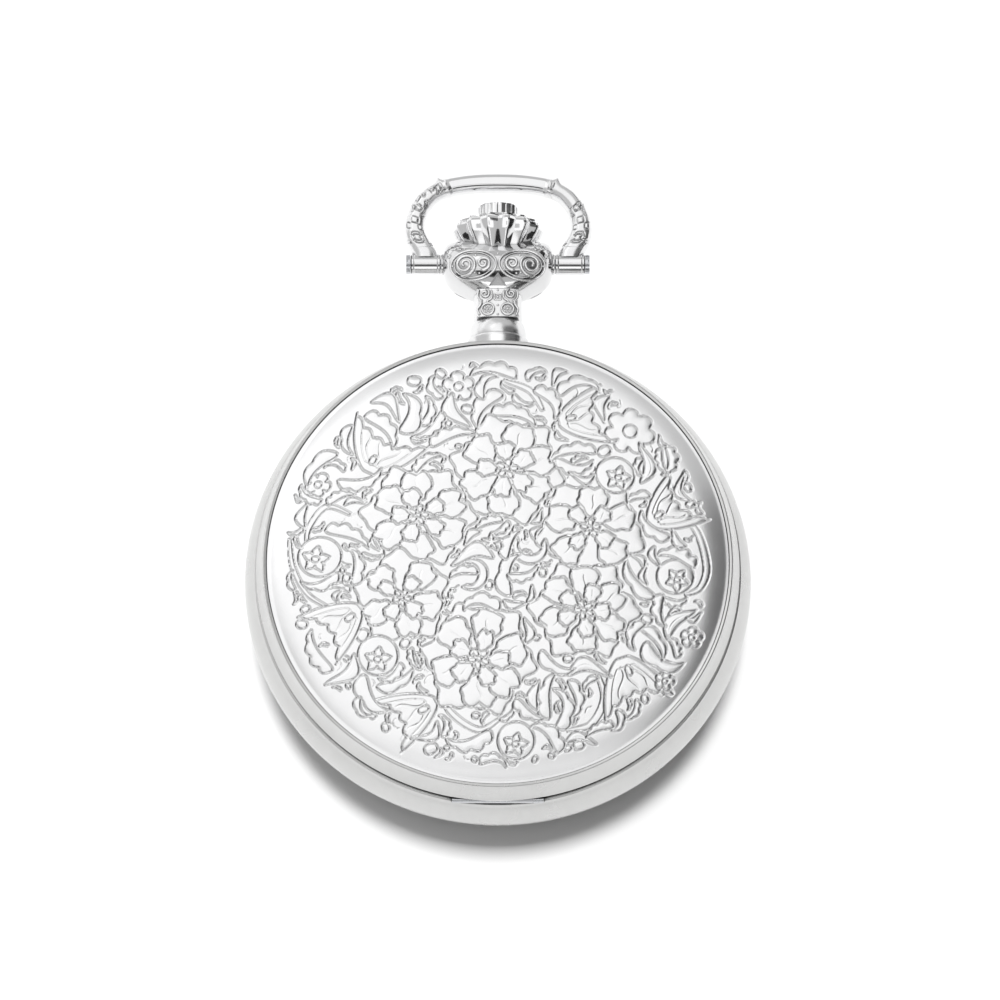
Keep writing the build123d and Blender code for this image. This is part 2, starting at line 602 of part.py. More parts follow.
with BuildPart() as fourth_wheel:
    add(wheel(FOURTH, 4.38, 80, 0.18, 6.9, 7.05, 0.35, 0.8, 5))
    add(teeth(FOURTH, 0.58, 10, 0.16, 6.5, 6.85))
    add(post(FOURTH, 0.4, 6.85, 6.9))
    add(post(FOURTH, 0.25, 5.4, 9.28))
save(fourth_wheel.part, "fourth_wheel")

with BuildPart() as escape_wheel:
    add(wheel(ESCAPE, 2.5, 15, 0.6, 6.35, 6.5, 0.3, 0.6, 4))
    add(teeth(ESCAPE, 0.43, 8, 0.12, 6.85, 7.1))
    add(post(ESCAPE, 0.25, 5.4, 7.8))
save(escape_wheel.part, "escape_wheel")

with BuildPart() as pallet_fork:
    add(link(PALLET, (-9.4, -6.73), 0.45, 0.18, 6.3, 6.5))
    add(link(PALLET, (-6.28, -6.47), 0.45, 0.22, 6.3, 6.5))
    add(link(PALLET, (-8.12, -9.33), 0.45, 0.22, 6.3, 6.5))
    add(post(PALLET, 0.2, 5.85, 7.9))
save(pallet_fork.part, "pallet_fork")

with BuildPart() as pallet_stones:
    add(link((-6.28, -6.47), (-6.0, -7.0), 0.2, 0.15, 6.5, 6.62))
    add(link((-8.12, -9.33), (-7.55, -9.4), 0.2, 0.15, 6.5, 6.62))
save(pallet_stones.part, "pallet_stones")

with BuildPart() as balance_wheel:
    add(turned([(4.55, 5.1), (5.0, 5.1), (5.0, 5.6), (4.55, 5.6)], BALANCE))
    for angle in (30, 210):
        tip = (BALANCE[0] + 4.7 * cos(radians(angle)), BALANCE[1] + 4.7 * sin(radians(angle)))
        add(link(BALANCE, tip, 0.7, 0.3, 5.2, 5.45))
    for i in range(12):
        angle = radians(30 * i + 15)
        hub = (BALANCE[0] + 4.9 * cos(angle), BALANCE[1] + 4.9 * sin(angle), 5.35)
        with BuildSketch(Plane(origin=hub, x_dir=(0, 0, 1), z_dir=(cos(angle), sin(angle), 0))):
            Circle(0.17)
        extrude(amount=0.38)
save(balance_wheel.part, "balance_wheel")

with BuildPart() as balance_staff:
    add(post(BALANCE, 0.17, 4.1, 5.2))
    add(post(BALANCE, 0.4, 4.97, 5.2))
    add(post(BALANCE, 0.55, 5.45, 5.75))
    add(post(BALANCE, 0.2, 5.75, 7.8))
save(balance_staff.part, "balance_staff")

with BuildPart() as hairspring:
    add(spiral(BALANCE, 0.6, 2.7, 6, 0.07, 4.78, 4.92))
save(hairspring.part, "hairspring")

# ---------------------------------------------------------------- motion work, dial and hands
with BuildPart() as cannon_pinion:
    add(teeth(CENTRE, 0.73, 12, 0.16, 8.25, 8.42))
    add(post(CENTRE, 0.55, 8.42, 10.05))
    add(post(CENTRE, 0.3, 8, 11), mode=Mode.SUBTRACT)
save(cannon_pinion.part, "cannon_pinion")

with BuildPart() as minute_wheel:
    add(teeth(MINUTE_WHEEL, 2.23, 36, 0.2, 8.25, 8.4))
    add(teeth(MINUTE_WHEEL, 0.58, 12, 0.12, 8.4, 8.65))
    add(post(MINUTE_WHEEL, 0.3, 8, 9), mode=Mode.SUBTRACT)
save(minute_wheel.part, "minute_wheel")

with BuildPart() as minute_post:
    add(post(MINUTE_WHEEL, 0.27, PLATE_HI, 8.7))
save(minute_post.part, "minute_post")

with BuildPart() as hour_wheel:
    add(teeth(CENTRE, 2.38, 48, 0.18, 8.45, 8.6))
    add(post(CENTRE, 0.85, 8.6, 9.52))
    add(post(CENTRE, 0.58, 8, 10), mode=Mode.SUBTRACT)
save(hour_wheel.part, "hour_wheel")

with BuildPart() as dial:
    add(post(CENTRE, 19.2, DIAL_LO, DIAL_HI))
    add(post(FOURTH, 3.4, DIAL_HI - 0.1, 10), mode=Mode.SUBTRACT)
    add(post(FOURTH, 0.35, 8, 10), mode=Mode.SUBTRACT)
    add(post(CENTRE, 0.95, 8, 10), mode=Mode.SUBTRACT)
    add(block(-2.0, 2.0, 18.4, 20, 8, 10), mode=Mode.SUBTRACT)
    for x in (-16.6, 16.6):
        add(post((x, 0), 0.4, 7.4, DIAL_LO))
save(dial.part, "dial")


def hand(centre, bearing, length, tail, hub_r, bore_r, half, low, high):
    """A leaf-shaped hand with a round hub, pointing along a bearing clockwise from twelve."""
    shape = [(-0.18, -tail), (0.18, -tail), (0.16, length * 0.3), (half, length * 0.62), (0.08, length * 0.8),
             (0.0, length), (-0.08, length * 0.8), (-half, length * 0.62), (-0.16, length * 0.3)]
    with BuildPart() as body:
        add(plate(shape, low, high))
        add(post((0, 0), hub_r, low, high))
        add(post((0, 0), bore_r, low - 1, high + 1), mode=Mode.SUBTRACT)
    return body.part.moved(Location((centre[0], centre[1], 0), (0, 0, -bearing)))


with BuildPart() as hour_hand:
    add(hand(CENTRE, 305, 9.0, 1.9, 1.25, 0.85, 0.85, 9.38, 9.52))
save(hour_hand.part, "hour_hand")

with BuildPart() as minute_hand:
    add(hand(CENTRE, 60, 13.6, 2.6, 1.0, 0.55, 0.65, 9.92, 10.05))
save(minute_hand.part, "minute_hand")

with BuildPart() as seconds_hand:
    add(hand(FOURTH, 200, 2.9, 1.0, 0.4, 0.25, 0.12, 9.2, 9.28))
save(seconds_hand.part, "seconds_hand")
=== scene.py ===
"""Looks for the hunter pocket watch: embossed covers, chased pendant and bow, dial and studio."""
import bpy
import bmesh
import json
import math
import numpy as np
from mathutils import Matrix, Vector

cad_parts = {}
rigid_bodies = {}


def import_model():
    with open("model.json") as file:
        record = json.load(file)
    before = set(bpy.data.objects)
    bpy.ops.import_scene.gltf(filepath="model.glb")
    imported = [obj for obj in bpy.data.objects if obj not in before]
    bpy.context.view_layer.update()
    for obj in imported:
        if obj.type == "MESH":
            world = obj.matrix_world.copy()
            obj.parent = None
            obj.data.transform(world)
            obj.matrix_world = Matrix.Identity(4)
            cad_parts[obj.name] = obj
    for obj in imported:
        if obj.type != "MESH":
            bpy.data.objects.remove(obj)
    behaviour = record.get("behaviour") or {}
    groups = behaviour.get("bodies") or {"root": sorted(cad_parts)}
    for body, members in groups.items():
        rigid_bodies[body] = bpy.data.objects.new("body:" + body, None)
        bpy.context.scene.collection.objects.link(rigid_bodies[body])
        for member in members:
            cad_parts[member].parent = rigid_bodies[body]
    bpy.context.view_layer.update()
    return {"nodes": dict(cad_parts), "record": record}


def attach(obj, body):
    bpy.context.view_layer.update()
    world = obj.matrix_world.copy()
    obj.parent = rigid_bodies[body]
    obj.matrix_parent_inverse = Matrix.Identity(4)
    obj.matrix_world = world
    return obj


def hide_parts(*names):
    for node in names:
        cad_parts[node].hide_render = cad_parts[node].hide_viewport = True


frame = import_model()

MM = 0.001
MID_Z = 7.0
PIVOT_Y = 31.27
HINGE_Y, HINGE_Z = -22.15, 10.0
KNUCKLE_R, HINGE_SLOT_R, HINGE_HALF = 0.45, 0.47, 4.3


# ---------------------------------------------------------------- materials
def material(name, color, metallic=1.0, rough=0.12, vary=0.04, grain=40.0, bump=0.0, tint=0.03,
             stretch=(1, 1, 1), recess=0.0, darkest_shade=0.3, **extra):
    """A finish whose colour, roughness and surface vary a little with position, with painted shade that
    darkens its colour in recesses.
    """
    mat = bpy.data.materials.new(name)
    mat.use_nodes = True
    nodes = mat.node_tree.nodes
    links = mat.node_tree.links
    shader = nodes["Principled BSDF"]

    def setting(target_node, values):
        for key, value in values.items():
            target_node.inputs[key.replace("_", " ")].default_value = value
        return target_node

    def node(kind, **values):
        return setting(nodes.new("ShaderNode" + kind), values)

    setting(shader, dict(Metallic=metallic, **extra))
    where = nodes.new("ShaderNodeTexCoord")
    mapping = node("Mapping", Scale=stretch)
    links.new(where.outputs["Object"], mapping.inputs["Vector"])
    noise = node("TexNoise", Scale=grain / MM / 40, Detail=4)
    links.new(mapping.outputs["Vector"], noise.inputs["Vector"])
    ramp = nodes.new("ShaderNodeValToRGB")
    dark = [max(0.0, c * (1 - tint)) for c in color]
    ramp.color_ramp.elements[0].color = (*dark, 1)
    ramp.color_ramp.elements[1].color = (*color, 1)
    ramp.color_ramp.elements[0].position = 0.35
    ramp.color_ramp.elements[1].position = 0.65
    links.new(noise.outputs["Fac"], ramp.inputs["Fac"])
    # Painted shade: ambient occlusion darkens the base colour in recesses and gaps, down to the last factor
    # where they are deepest.
    if recess:
        hollow = node("AmbientOcclusion", Distance=recess * MM)
        hollow.samples = 8
        depth = node("MapRange", From_Min=0.45, From_Max=0.90, To_Min=darkest_shade, To_Max=1.0)
        links.new(hollow.outputs["AO"], depth.inputs["Value"])
        shade = nodes.new("ShaderNodeVectorMath")
        shade.operation = "SCALE"
        links.new(ramp.outputs["Color"], shade.inputs[0])
        links.new(depth.outputs["Result"], shade.inputs["Scale"])
        links.new(shade.outputs["Vector"], shader.inputs["Base Color"])
    else:
        links.new(ramp.outputs["Color"], shader.inputs["Base Color"])
    spread = node("MapRange", From_Min=0.3, From_Max=0.7, To_Min=max(0.0, rough - vary), To_Max=rough + vary)
    broad = node("TexNoise", Scale=grain / MM / 400, Detail=3)
    links.new(where.outputs["Object"], broad.inputs["Vector"])
    links.new(broad.outputs["Fac"], spread.inputs["Value"])
    links.new(spread.outputs["Result"], shader.inputs["Roughness"])
    if bump:
        relief = node("Bump", Strength=bump, Distance=0.02 * MM)
        links.new(noise.outputs["Fac"], relief.inputs["Height"])
        links.new(relief.outputs["Normal"], shader.inputs["Normal"])
    return mat


# The silver finishes below carry painted shade in their recesses, grooves and seams: recess is how far it
# reaches, and the last factor is how dark it gets where deepest.
bright = dict(rough=0.08, vary=0.02, grain=20, bump=0.02, tint=0.02, recess=0.30)
polished = material("polished_silver", (0.80, 0.80, 0.805), darkest_shade=0.55, **bright)
head_silver = material("head_silver", (0.71, 0.71, 0.715), darkest_shade=0.75, **bright)
# The satin bands' painted shade goes nearly black in the deep seams between the cover and the case.
satin = material("satin_silver", (0.61, 0.61, 0.605), rough=0.26, vary=0.04, grain=60, bump=0.08,
                 stretch=(1, 1, 0.15), recess=0.75, darkest_shade=0.03)
relief_silver = material("relief_silver", (0.86, 0.86, 0.865), rough=0.22, vary=0.03, grain=30, bump=0.03,
                         tint=0.02, recess=0.46, darkest_shade=0.75)
chased = material("chased_silver", (0.82, 0.82, 0.825), rough=0.24, vary=0.04, grain=50, bump=0.05, tint=0.04,
                  recess=0.30, darkest_shade=0.55)
steel = material("ground_steel", (0.62, 0.63, 0.65), rough=0.24, vary=0.06, grain=60, bump=0.1)
blued = material("blued_steel", (0.035, 0.06, 0.22), rough=0.18, vary=0.05, grain=40, bump=0.05, tint=0.3)
nickel = material("nickel_plate", (0.74, 0.72, 0.68), rough=0.25, vary=0.05, grain=30, bump=0.15,
                  stretch=(0.2, 1, 1))
gilt = material("gilt_brass", (0.83, 0.62, 0.27), rough=0.22, vary=0.05, grain=50, bump=0.08)
ruby = material("ruby", (0.55, 0.02, 0.10), metallic=0.0, rough=0.05, vary=0.01, grain=60,
                Transmission_Weight=0.6)
enamel = material("white_enamel", (0.90, 0.89, 0.86), metallic=0.0, rough=0.14, vary=0.03, grain=20,
                  bump=0.02, Coat_Weight=0.5, Coat_Roughness=0.05)
ink = material("black_print", (0.012, 0.012, 0.014), metallic=0.0, rough=0.35, vary=0.05, grain=60, tint=0.4)
glass = material("crystal_glass", (1.0, 1.0, 1.0), metallic=0.0, rough=0.01, vary=0.005, grain=10, tint=0.0,
                 Transmission_Weight=1.0, IOR=1.45)
SLOTS = {"silver_case": polished, "case_inner": satin, "steel": steel, "blued_steel": blued,
         "nickel_plate": nickel, "gilt_brass": gilt, "ruby": ruby, "enamel": enamel, "mineral_glass": glass}
for entry in frame["record"]["subparts"]:
    node = frame["nodes"][entry["node"]]
    node.data.materials.clear()
    node.data.materials.append(SLOTS[entry["material_slot"]])


# ---------------------------------------------------------------- mesh helpers
def added(name, data):
    """A new object in the scene."""
    obj = bpy.data.objects.new(name, data)
    bpy.context.scene.collection.objects.link(obj)
    return obj


def in_mm(name, verts, faces):
    """A mesh from points in millimetres."""
    mesh = bpy.data.meshes.new(name)
    mesh.from_pydata([(x * MM, y * MM, z * MM) for x, y, z in verts], [], faces)
    return mesh


def piece(name, verts, faces, mat, body, replaces=(), slot="silver_case", sharp=35.0, bevel=0.0):
    """A visible mesh that rides on a CAD body, with edges sharper than the angle left crisp."""
    mesh = in_mm(name, verts, faces)
    tidy = bmesh.new()
    tidy.from_mesh(mesh)
    bmesh.ops.remove_doubles(tidy, verts=tidy.verts, dist=1e-7)
    bmesh.ops.recalc_face_normals(tidy, faces=tidy.faces)
    for face in tidy.faces:
        face.smooth = True
    for edge in tidy.edges:
        if len(edge.link_faces) == 2 and edge.calc_face_angle(0) > math.radians(sharp):
            edge.smooth = False
    tidy.to_mesh(mesh)
    tidy.free()
    obj = added(name, mesh)
    mesh.materials.append(mat)
    if bevel:
        round_off = obj.modifiers.new("bevel", "BEVEL")
        round_off.width = bevel * MM
        round_off.segments = 3
        round_off.limit_method = "ANGLE"
        round_off.angle_limit = math.radians(sharp)
        round_off.harden_normals = True
    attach(obj, body)
    if replaces:
        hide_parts(*replaces)
    return obj


def skin(rings, around, loop=False, wrap=True, flip=False):
    """Quads between rings of points; the rings may close into a loop and each ring may close on itself."""
    faces = []
    for i in range(rings if loop else rings - 1):
        j = (i + 1) % rings
        for k in range(around if wrap else around - 1):
            n = (k + 1) % around
            a, b, c, d = i * around + k, i * around + n, j * around + n, j * around + k
            faces.append((a, d, c, b) if flip else (a, b, c, d))
    return faces


def ends(rings, around, flip=False):
    """The two faces that close a tube of rings."""
    first, last = tuple(range(around)), tuple(range((rings - 1) * around, rings * around))
    return [first, last[::-1]] if flip else [first[::-1], last]


def border(rows, columns):
    """The indices round the outside of a grid of points."""
    ids = np.arange(rows * columns).reshape(rows, columns)
    return np.concatenate([ids[0, :], ids[1:, -1], ids[-1, -2::-1], ids[-2:0:-1, 0]]).tolist()


def lathe(profile, steps=256):
    """Vertices and faces of a profile of (radius, height) turned about the vertical axis."""
    verts = []
    for i in range(steps):
        angle = 2 * math.pi * i / steps
        verts += [(r * math.cos(angle), r * math.sin(angle), z) for r, z in profile]
    return verts, skin(steps, len(profile), loop=True)


def arc(x0, y0, x1, y1, bulge, steps=10):
    """Points on a shallow arc between two points, pushed sideways by the bulge."""
    points = []
    dx, dy = x1 - x0, y1 - y0
    for i in range(steps + 1):
        t = i / steps
        lift = 4 * bulge * t * (1 - t)
        length = math.hypot(dx, dy)
        points.append((x0 + dx * t + dy / length * lift, y0 + dy * t - dx / length * lift))
    return points


def cut(obj, *tools):
    """Cuts the tools out of a piece for good."""
    for tool in tools:
        mod = obj.modifiers.new("cut", "BOOLEAN")
        mod.object = tool
        mod.operation = "DIFFERENCE"
        mod.solver = "EXACT"
    depsgraph = bpy.context.evaluated_depsgraph_get()
    mesh = bpy.data.meshes.new_from_object(obj.evaluated_get(depsgraph))
    obj.modifiers.clear()
    old = obj.data
    obj.data = mesh
    bpy.data.meshes.remove(old)
    for tool in tools:
        data = tool.data
        bpy.data.objects.remove(tool)
        bpy.data.meshes.remove(data)


def raw(verts, faces):
    """A mesh in millimetres, to cut with."""
    return added("tool", in_mm("tool", verts, faces))


# ---------------------------------------------------------------- embossing
CELLS = 1250
REACH = 21.4
BORDER_R, ROLL_R = 18.8, 20.9
axis_mm = np.linspace(-REACH, REACH, CELLS)
STEP = axis_mm[1] - axis_mm[0]
GROUND = -0.05


class Relief:
    """A height map in millimetres, zero at the tops, that motifs are pressed into one after another."""

    def __init__(self):
        self.height = np.full((CELLS, CELLS), GROUND)
        self.used = np.zeros((CELLS, CELLS), bool)

    def window(self, points, margin):
        """The part of the grid round some points, and its coordinates."""
        low = np.floor((points.min(0) - margin + REACH) / STEP).astype(int).clip(0, CELLS - 1)
        high = np.ceil((points.max(0) + margin + REACH) / STEP).astype(int).clip(0, CELLS - 1)
        span = np.s_[low[1]:high[1] + 1, low[0]:high[0] + 1]
        gx, gy = np.meshgrid(axis_mm[low[0]:high[0] + 1], axis_mm[low[1]:high[1] + 1])
        return span, gx, gy

    def distance(self, points, gx, gy, closed=True):
        """Signed distance to a closed outline, or plain distance to an open line."""
        ends = np.roll(points, -1, 0) if closed else points[1:]
        starts = points if closed else points[:-1]
        best = np.full(gx.shape, 1e9)
        inside = np.zeros(gx.shape, bool)
        for (ax, ay), (bx, by) in zip(starts, ends):
            ex, ey = bx - ax, by - ay
            wx, wy = gx - ax, gy - ay
            t = ((wx * ex + wy * ey) / max(ex * ex + ey * ey, 1e-12)).clip(0, 1)
            np.minimum(best, (wx - t * ex) ** 2 + (wy - t * ey) ** 2, out=best)
            if closed:
                cross = ((ay > gy) != (by > gy)) & (gx < ex * (gy - ay) / ((by - ay) or 1e-12) + ax)
                inside ^= cross
        best = np.sqrt(best)
        return np.where(inside, -best, best) if closed else best

    def press(self, points, depth=0.12, inner=0.10, outer=0.13, pillow=0.06):
        """A raised motif with a groove round it."""
        points = np.asarray(points, float)
        span, gx, gy = self.window(points, outer + 0.1)
        if gx.size < 4:
            return
        s = self.distance(points, gx, gy)
        h = self.height[span]
        rise = (-s / inner).clip(0, 1)
        rise = rise * rise * (3 - 2 * rise)
        body = -pillow * np.exp(s / 0.45) - depth * (1 - rise)
        groove = -depth * (1 - (s / outer).clip(0, 1)) - pillow
        h = np.where(s < 0, body, np.where(s < outer, np.minimum(h, groove), h))
        self.height[span] = h
        self.used[span] |= s < 0.14

    def score(self, points, depth=0.08, width=0.11):
        """An open line cut into whatever is there."""
        points = np.asarray(points, float)
        span, gx, gy = self.window(points, width)
        s = self.distance(points, gx, gy, closed=False)
        self.height[span] = np.minimum(self.height[span], -depth * (1 - (s / width).clip(0, 1)) * (s < width)
                                       + 9 * (s >= width))
        self.used[span] |= s < width * 1.6

    def free(self, points, share):
        """True if a motif fits inside the border and covers at most this share of used ground."""
        points = np.asarray(points, float)
        if np.hypot(points[:, 0], points[:, 1]).max() > 19.9:
            return False
        span, gx, gy = self.window(points, 0)
        s = self.distance(points, gx, gy) < 0
        return s.any() and (self.used[span] & s).sum() <= share * s.sum()

    def sample(self, x, y):
        """Height at any points, between the grid's own."""
        fx = ((x + REACH) / STEP).clip(0, CELLS - 1.001)
        fy = ((y + REACH) / STEP).clip(0, CELLS - 1.001)
        ix, iy = fx.astype(int), fy.astype(int)
        u, v = fx - ix, fy - iy
        h = self.height
        return ((h[iy, ix] * (1 - u) + h[iy, ix + 1] * u) * (1 - v)
                + (h[iy + 1, ix] * (1 - u) + h[iy + 1, ix + 1] * u) * v)


def polar(x, y, r, angle):
    """The point at a distance and bearing, in radians, from (x, y)."""
    return x + r * math.cos(angle), y + r * math.sin(angle)


def placed(points, x, y, turn=0.0):
    """Points turned by degrees and moved."""
    points = np.asarray(points, float)
    c, s = math.cos(math.radians(turn)), math.sin(math.radians(turn))
    return np.stack([x + points[:, 0] * c - points[:, 1] * s, y + points[:, 0] * s + points[:, 1] * c], 1)


def petals(r, lobes, turn, tip=0.10, notch=0.18, wave=0.03, steps=120):
    """A flower outline with pointed petals."""
    a = np.linspace(0, 2 * np.pi, steps, endpoint=False)
    b = lobes * a / 2
    radius = r * (1 - notch * (1 - np.abs(np.cos(b)) ** 0.45) + tip * np.abs(np.cos(b)) ** 9
                  + wave * np.cos(3 * lobes * a + 1.3))
    radius = radius * (1 + 0.03 * np.sin(2 * a + turn))
    return placed(np.stack([radius * np.cos(a), radius * np.sin(a)], 1), 0, 0, turn)


def pebble(w, h, power, steps=26):
    """A rounded square cell."""
    a = np.linspace(0, 2 * np.pi, steps, endpoint=False)
    c, s = np.cos(a), np.sin(a)
    x = w * np.sign(c) * np.abs(c) ** (2 / power)
    y = h * np.sign(s) * np.abs(s) ** (2 / power)
    return np.stack([x, y], 1)


def petal(length, width, ruffle, nick):
    """One rounded petal with a ruffled outer edge and a nick in its tip."""
    a = np.linspace(0, 2 * np.pi, 36, endpoint=False)
    grow = 1 + 0.07 * np.cos(6 * a + ruffle) + 0.04 * np.cos(9 * a - ruffle)
    grow = grow - nick * np.exp(-(np.angle(np.exp(1j * a)) / 0.22) ** 2)
    return np.stack([length * grow * np.cos(a), width * grow * np.sin(a) * (0.82 + 0.25 * np.cos(a))], 1)


def rosette(rel, x, y, r, lobes, turn):
    """A rose: pointed sepals, then two rounds of overlapping petals, then a seeded middle."""
    draw = np.random.default_rng(int(turn) + lobes)
    rel.press(placed(petals(r, lobes, turn + 180 / lobes, tip=0.13, notch=0.22), x, y))
    for count, out, long, wide, shift in ((lobes, 0.60, 0.33, 0.36, 0), (lobes - 1, 0.36, 0.21, 0.20, 25)):
        for i in range(count):
            a = math.radians(turn + shift + 360 * i / count + draw.uniform(-9, 9))
            shape = petal(r * long * draw.uniform(0.88, 1.08), r * wide * draw.uniform(0.88, 1.1),
                          draw.uniform(0, 6), draw.choice([0.0, 0.12, 0.22]))
            spot = polar(x, y, r * out * draw.uniform(0.95, 1.06), a)
            rel.press(placed(shape, *spot, math.degrees(a)))
            t = np.linspace(-0.5, 0.45, 6) * r * long
            crease = placed(np.stack([t, 0.10 * r * wide * np.sin(3 * t)], 1), *spot,
                            math.degrees(a) + draw.uniform(-14, 14))
            rel.score(crease, depth=0.05, width=0.10)
    for i in range(5):
        a = math.radians(turn + 72 * i)
        seed = pebble(r * 0.075, r * 0.055, 2.4)
        rel.press(placed(seed, *polar(x, y, 0.13 * r, a), math.degrees(a)),
                  depth=0.10, inner=0.08, outer=0.09)


def frond(length, width, bend=1.2, lobes=3, steps=34):
    """A leaf that curls round as it grows, with rounded lobes along its outer side."""
    t = np.linspace(0, 1, steps)
    heading = bend * (t ** 1.4 - 0.3)
    step = length / (steps - 1)
    spine = np.stack([np.cumsum(np.cos(heading)), np.cumsum(np.sin(heading))], 1) * step
    across = np.stack([-np.sin(heading), np.cos(heading)], 1)
    w = (width * np.sin(np.pi * t ** 0.62) ** 0.75)[:, None]
    ruffle = (0.72 + 0.55 * np.abs(np.sin(np.pi * lobes * t)))[:, None]
    side = 1 if bend < 0 else -1
    return np.concatenate([spine + side * across * w * ruffle,
                           (spine - side * across * w * 0.62)[::-1][1:-1]])


def leaf(length, width, bend, steps=22):
    """A pointed leaf from the origin along +X."""
    t = np.linspace(0, 1, steps)
    w = width * np.sin(np.pi * t ** 0.8) ** 0.9
    spine = bend * length * np.sin(np.pi * t * 1.3)
    upper = np.stack([t * length, spine + w], 1)
    lower = np.stack([t * length, spine - w * 0.8], 1)
    return np.concatenate([upper, lower[::-1][1:-1]])


def vein(length, bend):
    """The middle line of a leaf."""
    t = np.linspace(0.12, 0.82, 9)
    return np.stack([t * length, bend * length * np.sin(np.pi * t * 1.3)], 1)


def tulip(rel, x, y, size, turn, spread, scallops):
    """A cup-shaped flower that opens along the turn."""
    t = np.linspace(0, 1, 16)
    side = np.stack([size * (0.02 + 1.05 * t ** 1.3), size * spread * (0.10 + 0.42 * np.sin(np.pi * t * 0.62)
                     + 0.22 * t ** 3)], 1)
    b = np.linspace(0, 1, 8 * scallops)
    edge_y = size * spread * (0.72 - 1.44 * b)
    edge_x = size * (0.98 - 0.30 * np.sin(np.pi * b) + 0.09 * np.abs(np.sin(np.pi * b * scallops)))
    other = side[::-1] * [1, -1]
    rel.press(placed(np.concatenate([side, np.stack([edge_x, edge_y], 1)[1:-1], other]), x, y, turn))
    inside = np.concatenate([side[2:-2] * [0.92, 0.80] + [size * 0.12, 0],
                             (np.stack([edge_x, edge_y], 1)[3:-3]) * [0.86, 0.74] + [size * 0.10, 0],
                             side[2:-2][::-1] * [0.92, -0.80] + [size * 0.12, 0]])
    rel.score(placed(np.concatenate([inside, inside[:1]]), x, y, turn))
    for k in (-0.26, 0.04, 0.3):
        u = np.linspace(0.18, 0.74, 10)
        line = np.stack([u * size, k * size * spread * u * 1.5 + 0.05 * size * np.sin(u * 11 + k * 9)], 1)
        rel.score(placed(line, x, y, turn), depth=0.07, width=0.1)
    rel.press(placed(pebble(size * 0.10, size * 0.06, 2.2),
                     *polar(x, y, 0.30 * size, math.radians(turn + 8)), turn),
              depth=0.08, inner=0.08, outer=0.09)


def fruit(rel, x, y, r, turn):
    """A round fruit with its little crown."""
    a = np.linspace(0, 2 * np.pi, 40, endpoint=False)
    rel.press(placed(np.stack([r * np.cos(a), r * np.sin(a) * 0.96], 1), x, y, turn), pillow=0.05)
    rel.press(placed(petals(r * 0.5, 5, turn, tip=0.3, notch=0.4, steps=50), *polar(x, y, 0.22 * r, turn)),
              depth=0.09, inner=0.1, outer=0.1)
    rel.press(placed(pebble(r * 0.17, r * 0.15, 2.2),
                     x + 0.24 * r * math.cos(turn), y + 0.2 * r * math.sin(turn)),
              depth=0.08, inner=0.08, outer=0.08)


def crescent(rel, x, y, r, turn):
    """A moon-shaped leaf that closes on itself."""
    a = np.linspace(np.radians(-125), np.radians(125), 26)
    far = np.stack([r * np.cos(a), r * np.sin(a)], 1)
    near = np.stack([r * 0.56 * np.cos(a * 0.86) - 0.10 * r, r * 0.70 * np.sin(a * 0.86)], 1)
    rel.press(placed(np.concatenate([far, near[::-1]]), x, y, turn))


def through(points, count):
    """Evenly spaced points on a smooth line through a few points."""
    points = np.asarray(points, float)
    t = np.linspace(0, len(points) - 1, count)
    i = np.clip(t.astype(int), 0, len(points) - 2)
    u = (t - i)[:, None]
    p0, p1 = points[np.maximum(i - 1, 0)], points[i]
    p2, p3 = points[i + 1], points[np.minimum(i + 2, len(points) - 1)]
    return 0.5 * (2 * p1 + (p2 - p0) * u + (2 * p0 - 5 * p1 + 4 * p2 - p3) * u ** 2
                  + (3 * p1 - p0 - 3 * p2 + p3) * u ** 3)


def vine(rel, points, width):
    """A raised stem along a smooth line."""
    line = through(points, 14 * (len(points) - 1))
    d = np.gradient(line, axis=0)
    n = np.stack([-d[:, 1], d[:, 0]], 1) / np.maximum(np.hypot(d[:, 0], d[:, 1]), 1e-9)[:, None]
    w = (width * (0.45 + 0.55 * np.sin(np.pi * np.linspace(0.08, 0.97, len(line)))))[:, None]
    rel.press(np.concatenate([line + n * w, (line - n * w)[::-1]]), inner=0.1, pillow=0.01)


def blossom(rel, x, y, r, turn, lobes):
    """A plain round flower with a button in the middle."""
    rel.press(placed(petals(r, lobes, turn, tip=0.0, notch=0.4, wave=0.0, steps=50), x, y))
    rel.press(placed(pebble(r * 0.28, r * 0.28, 2.0, steps=16), x, y), depth=0.08, inner=0.08, outer=0.08)


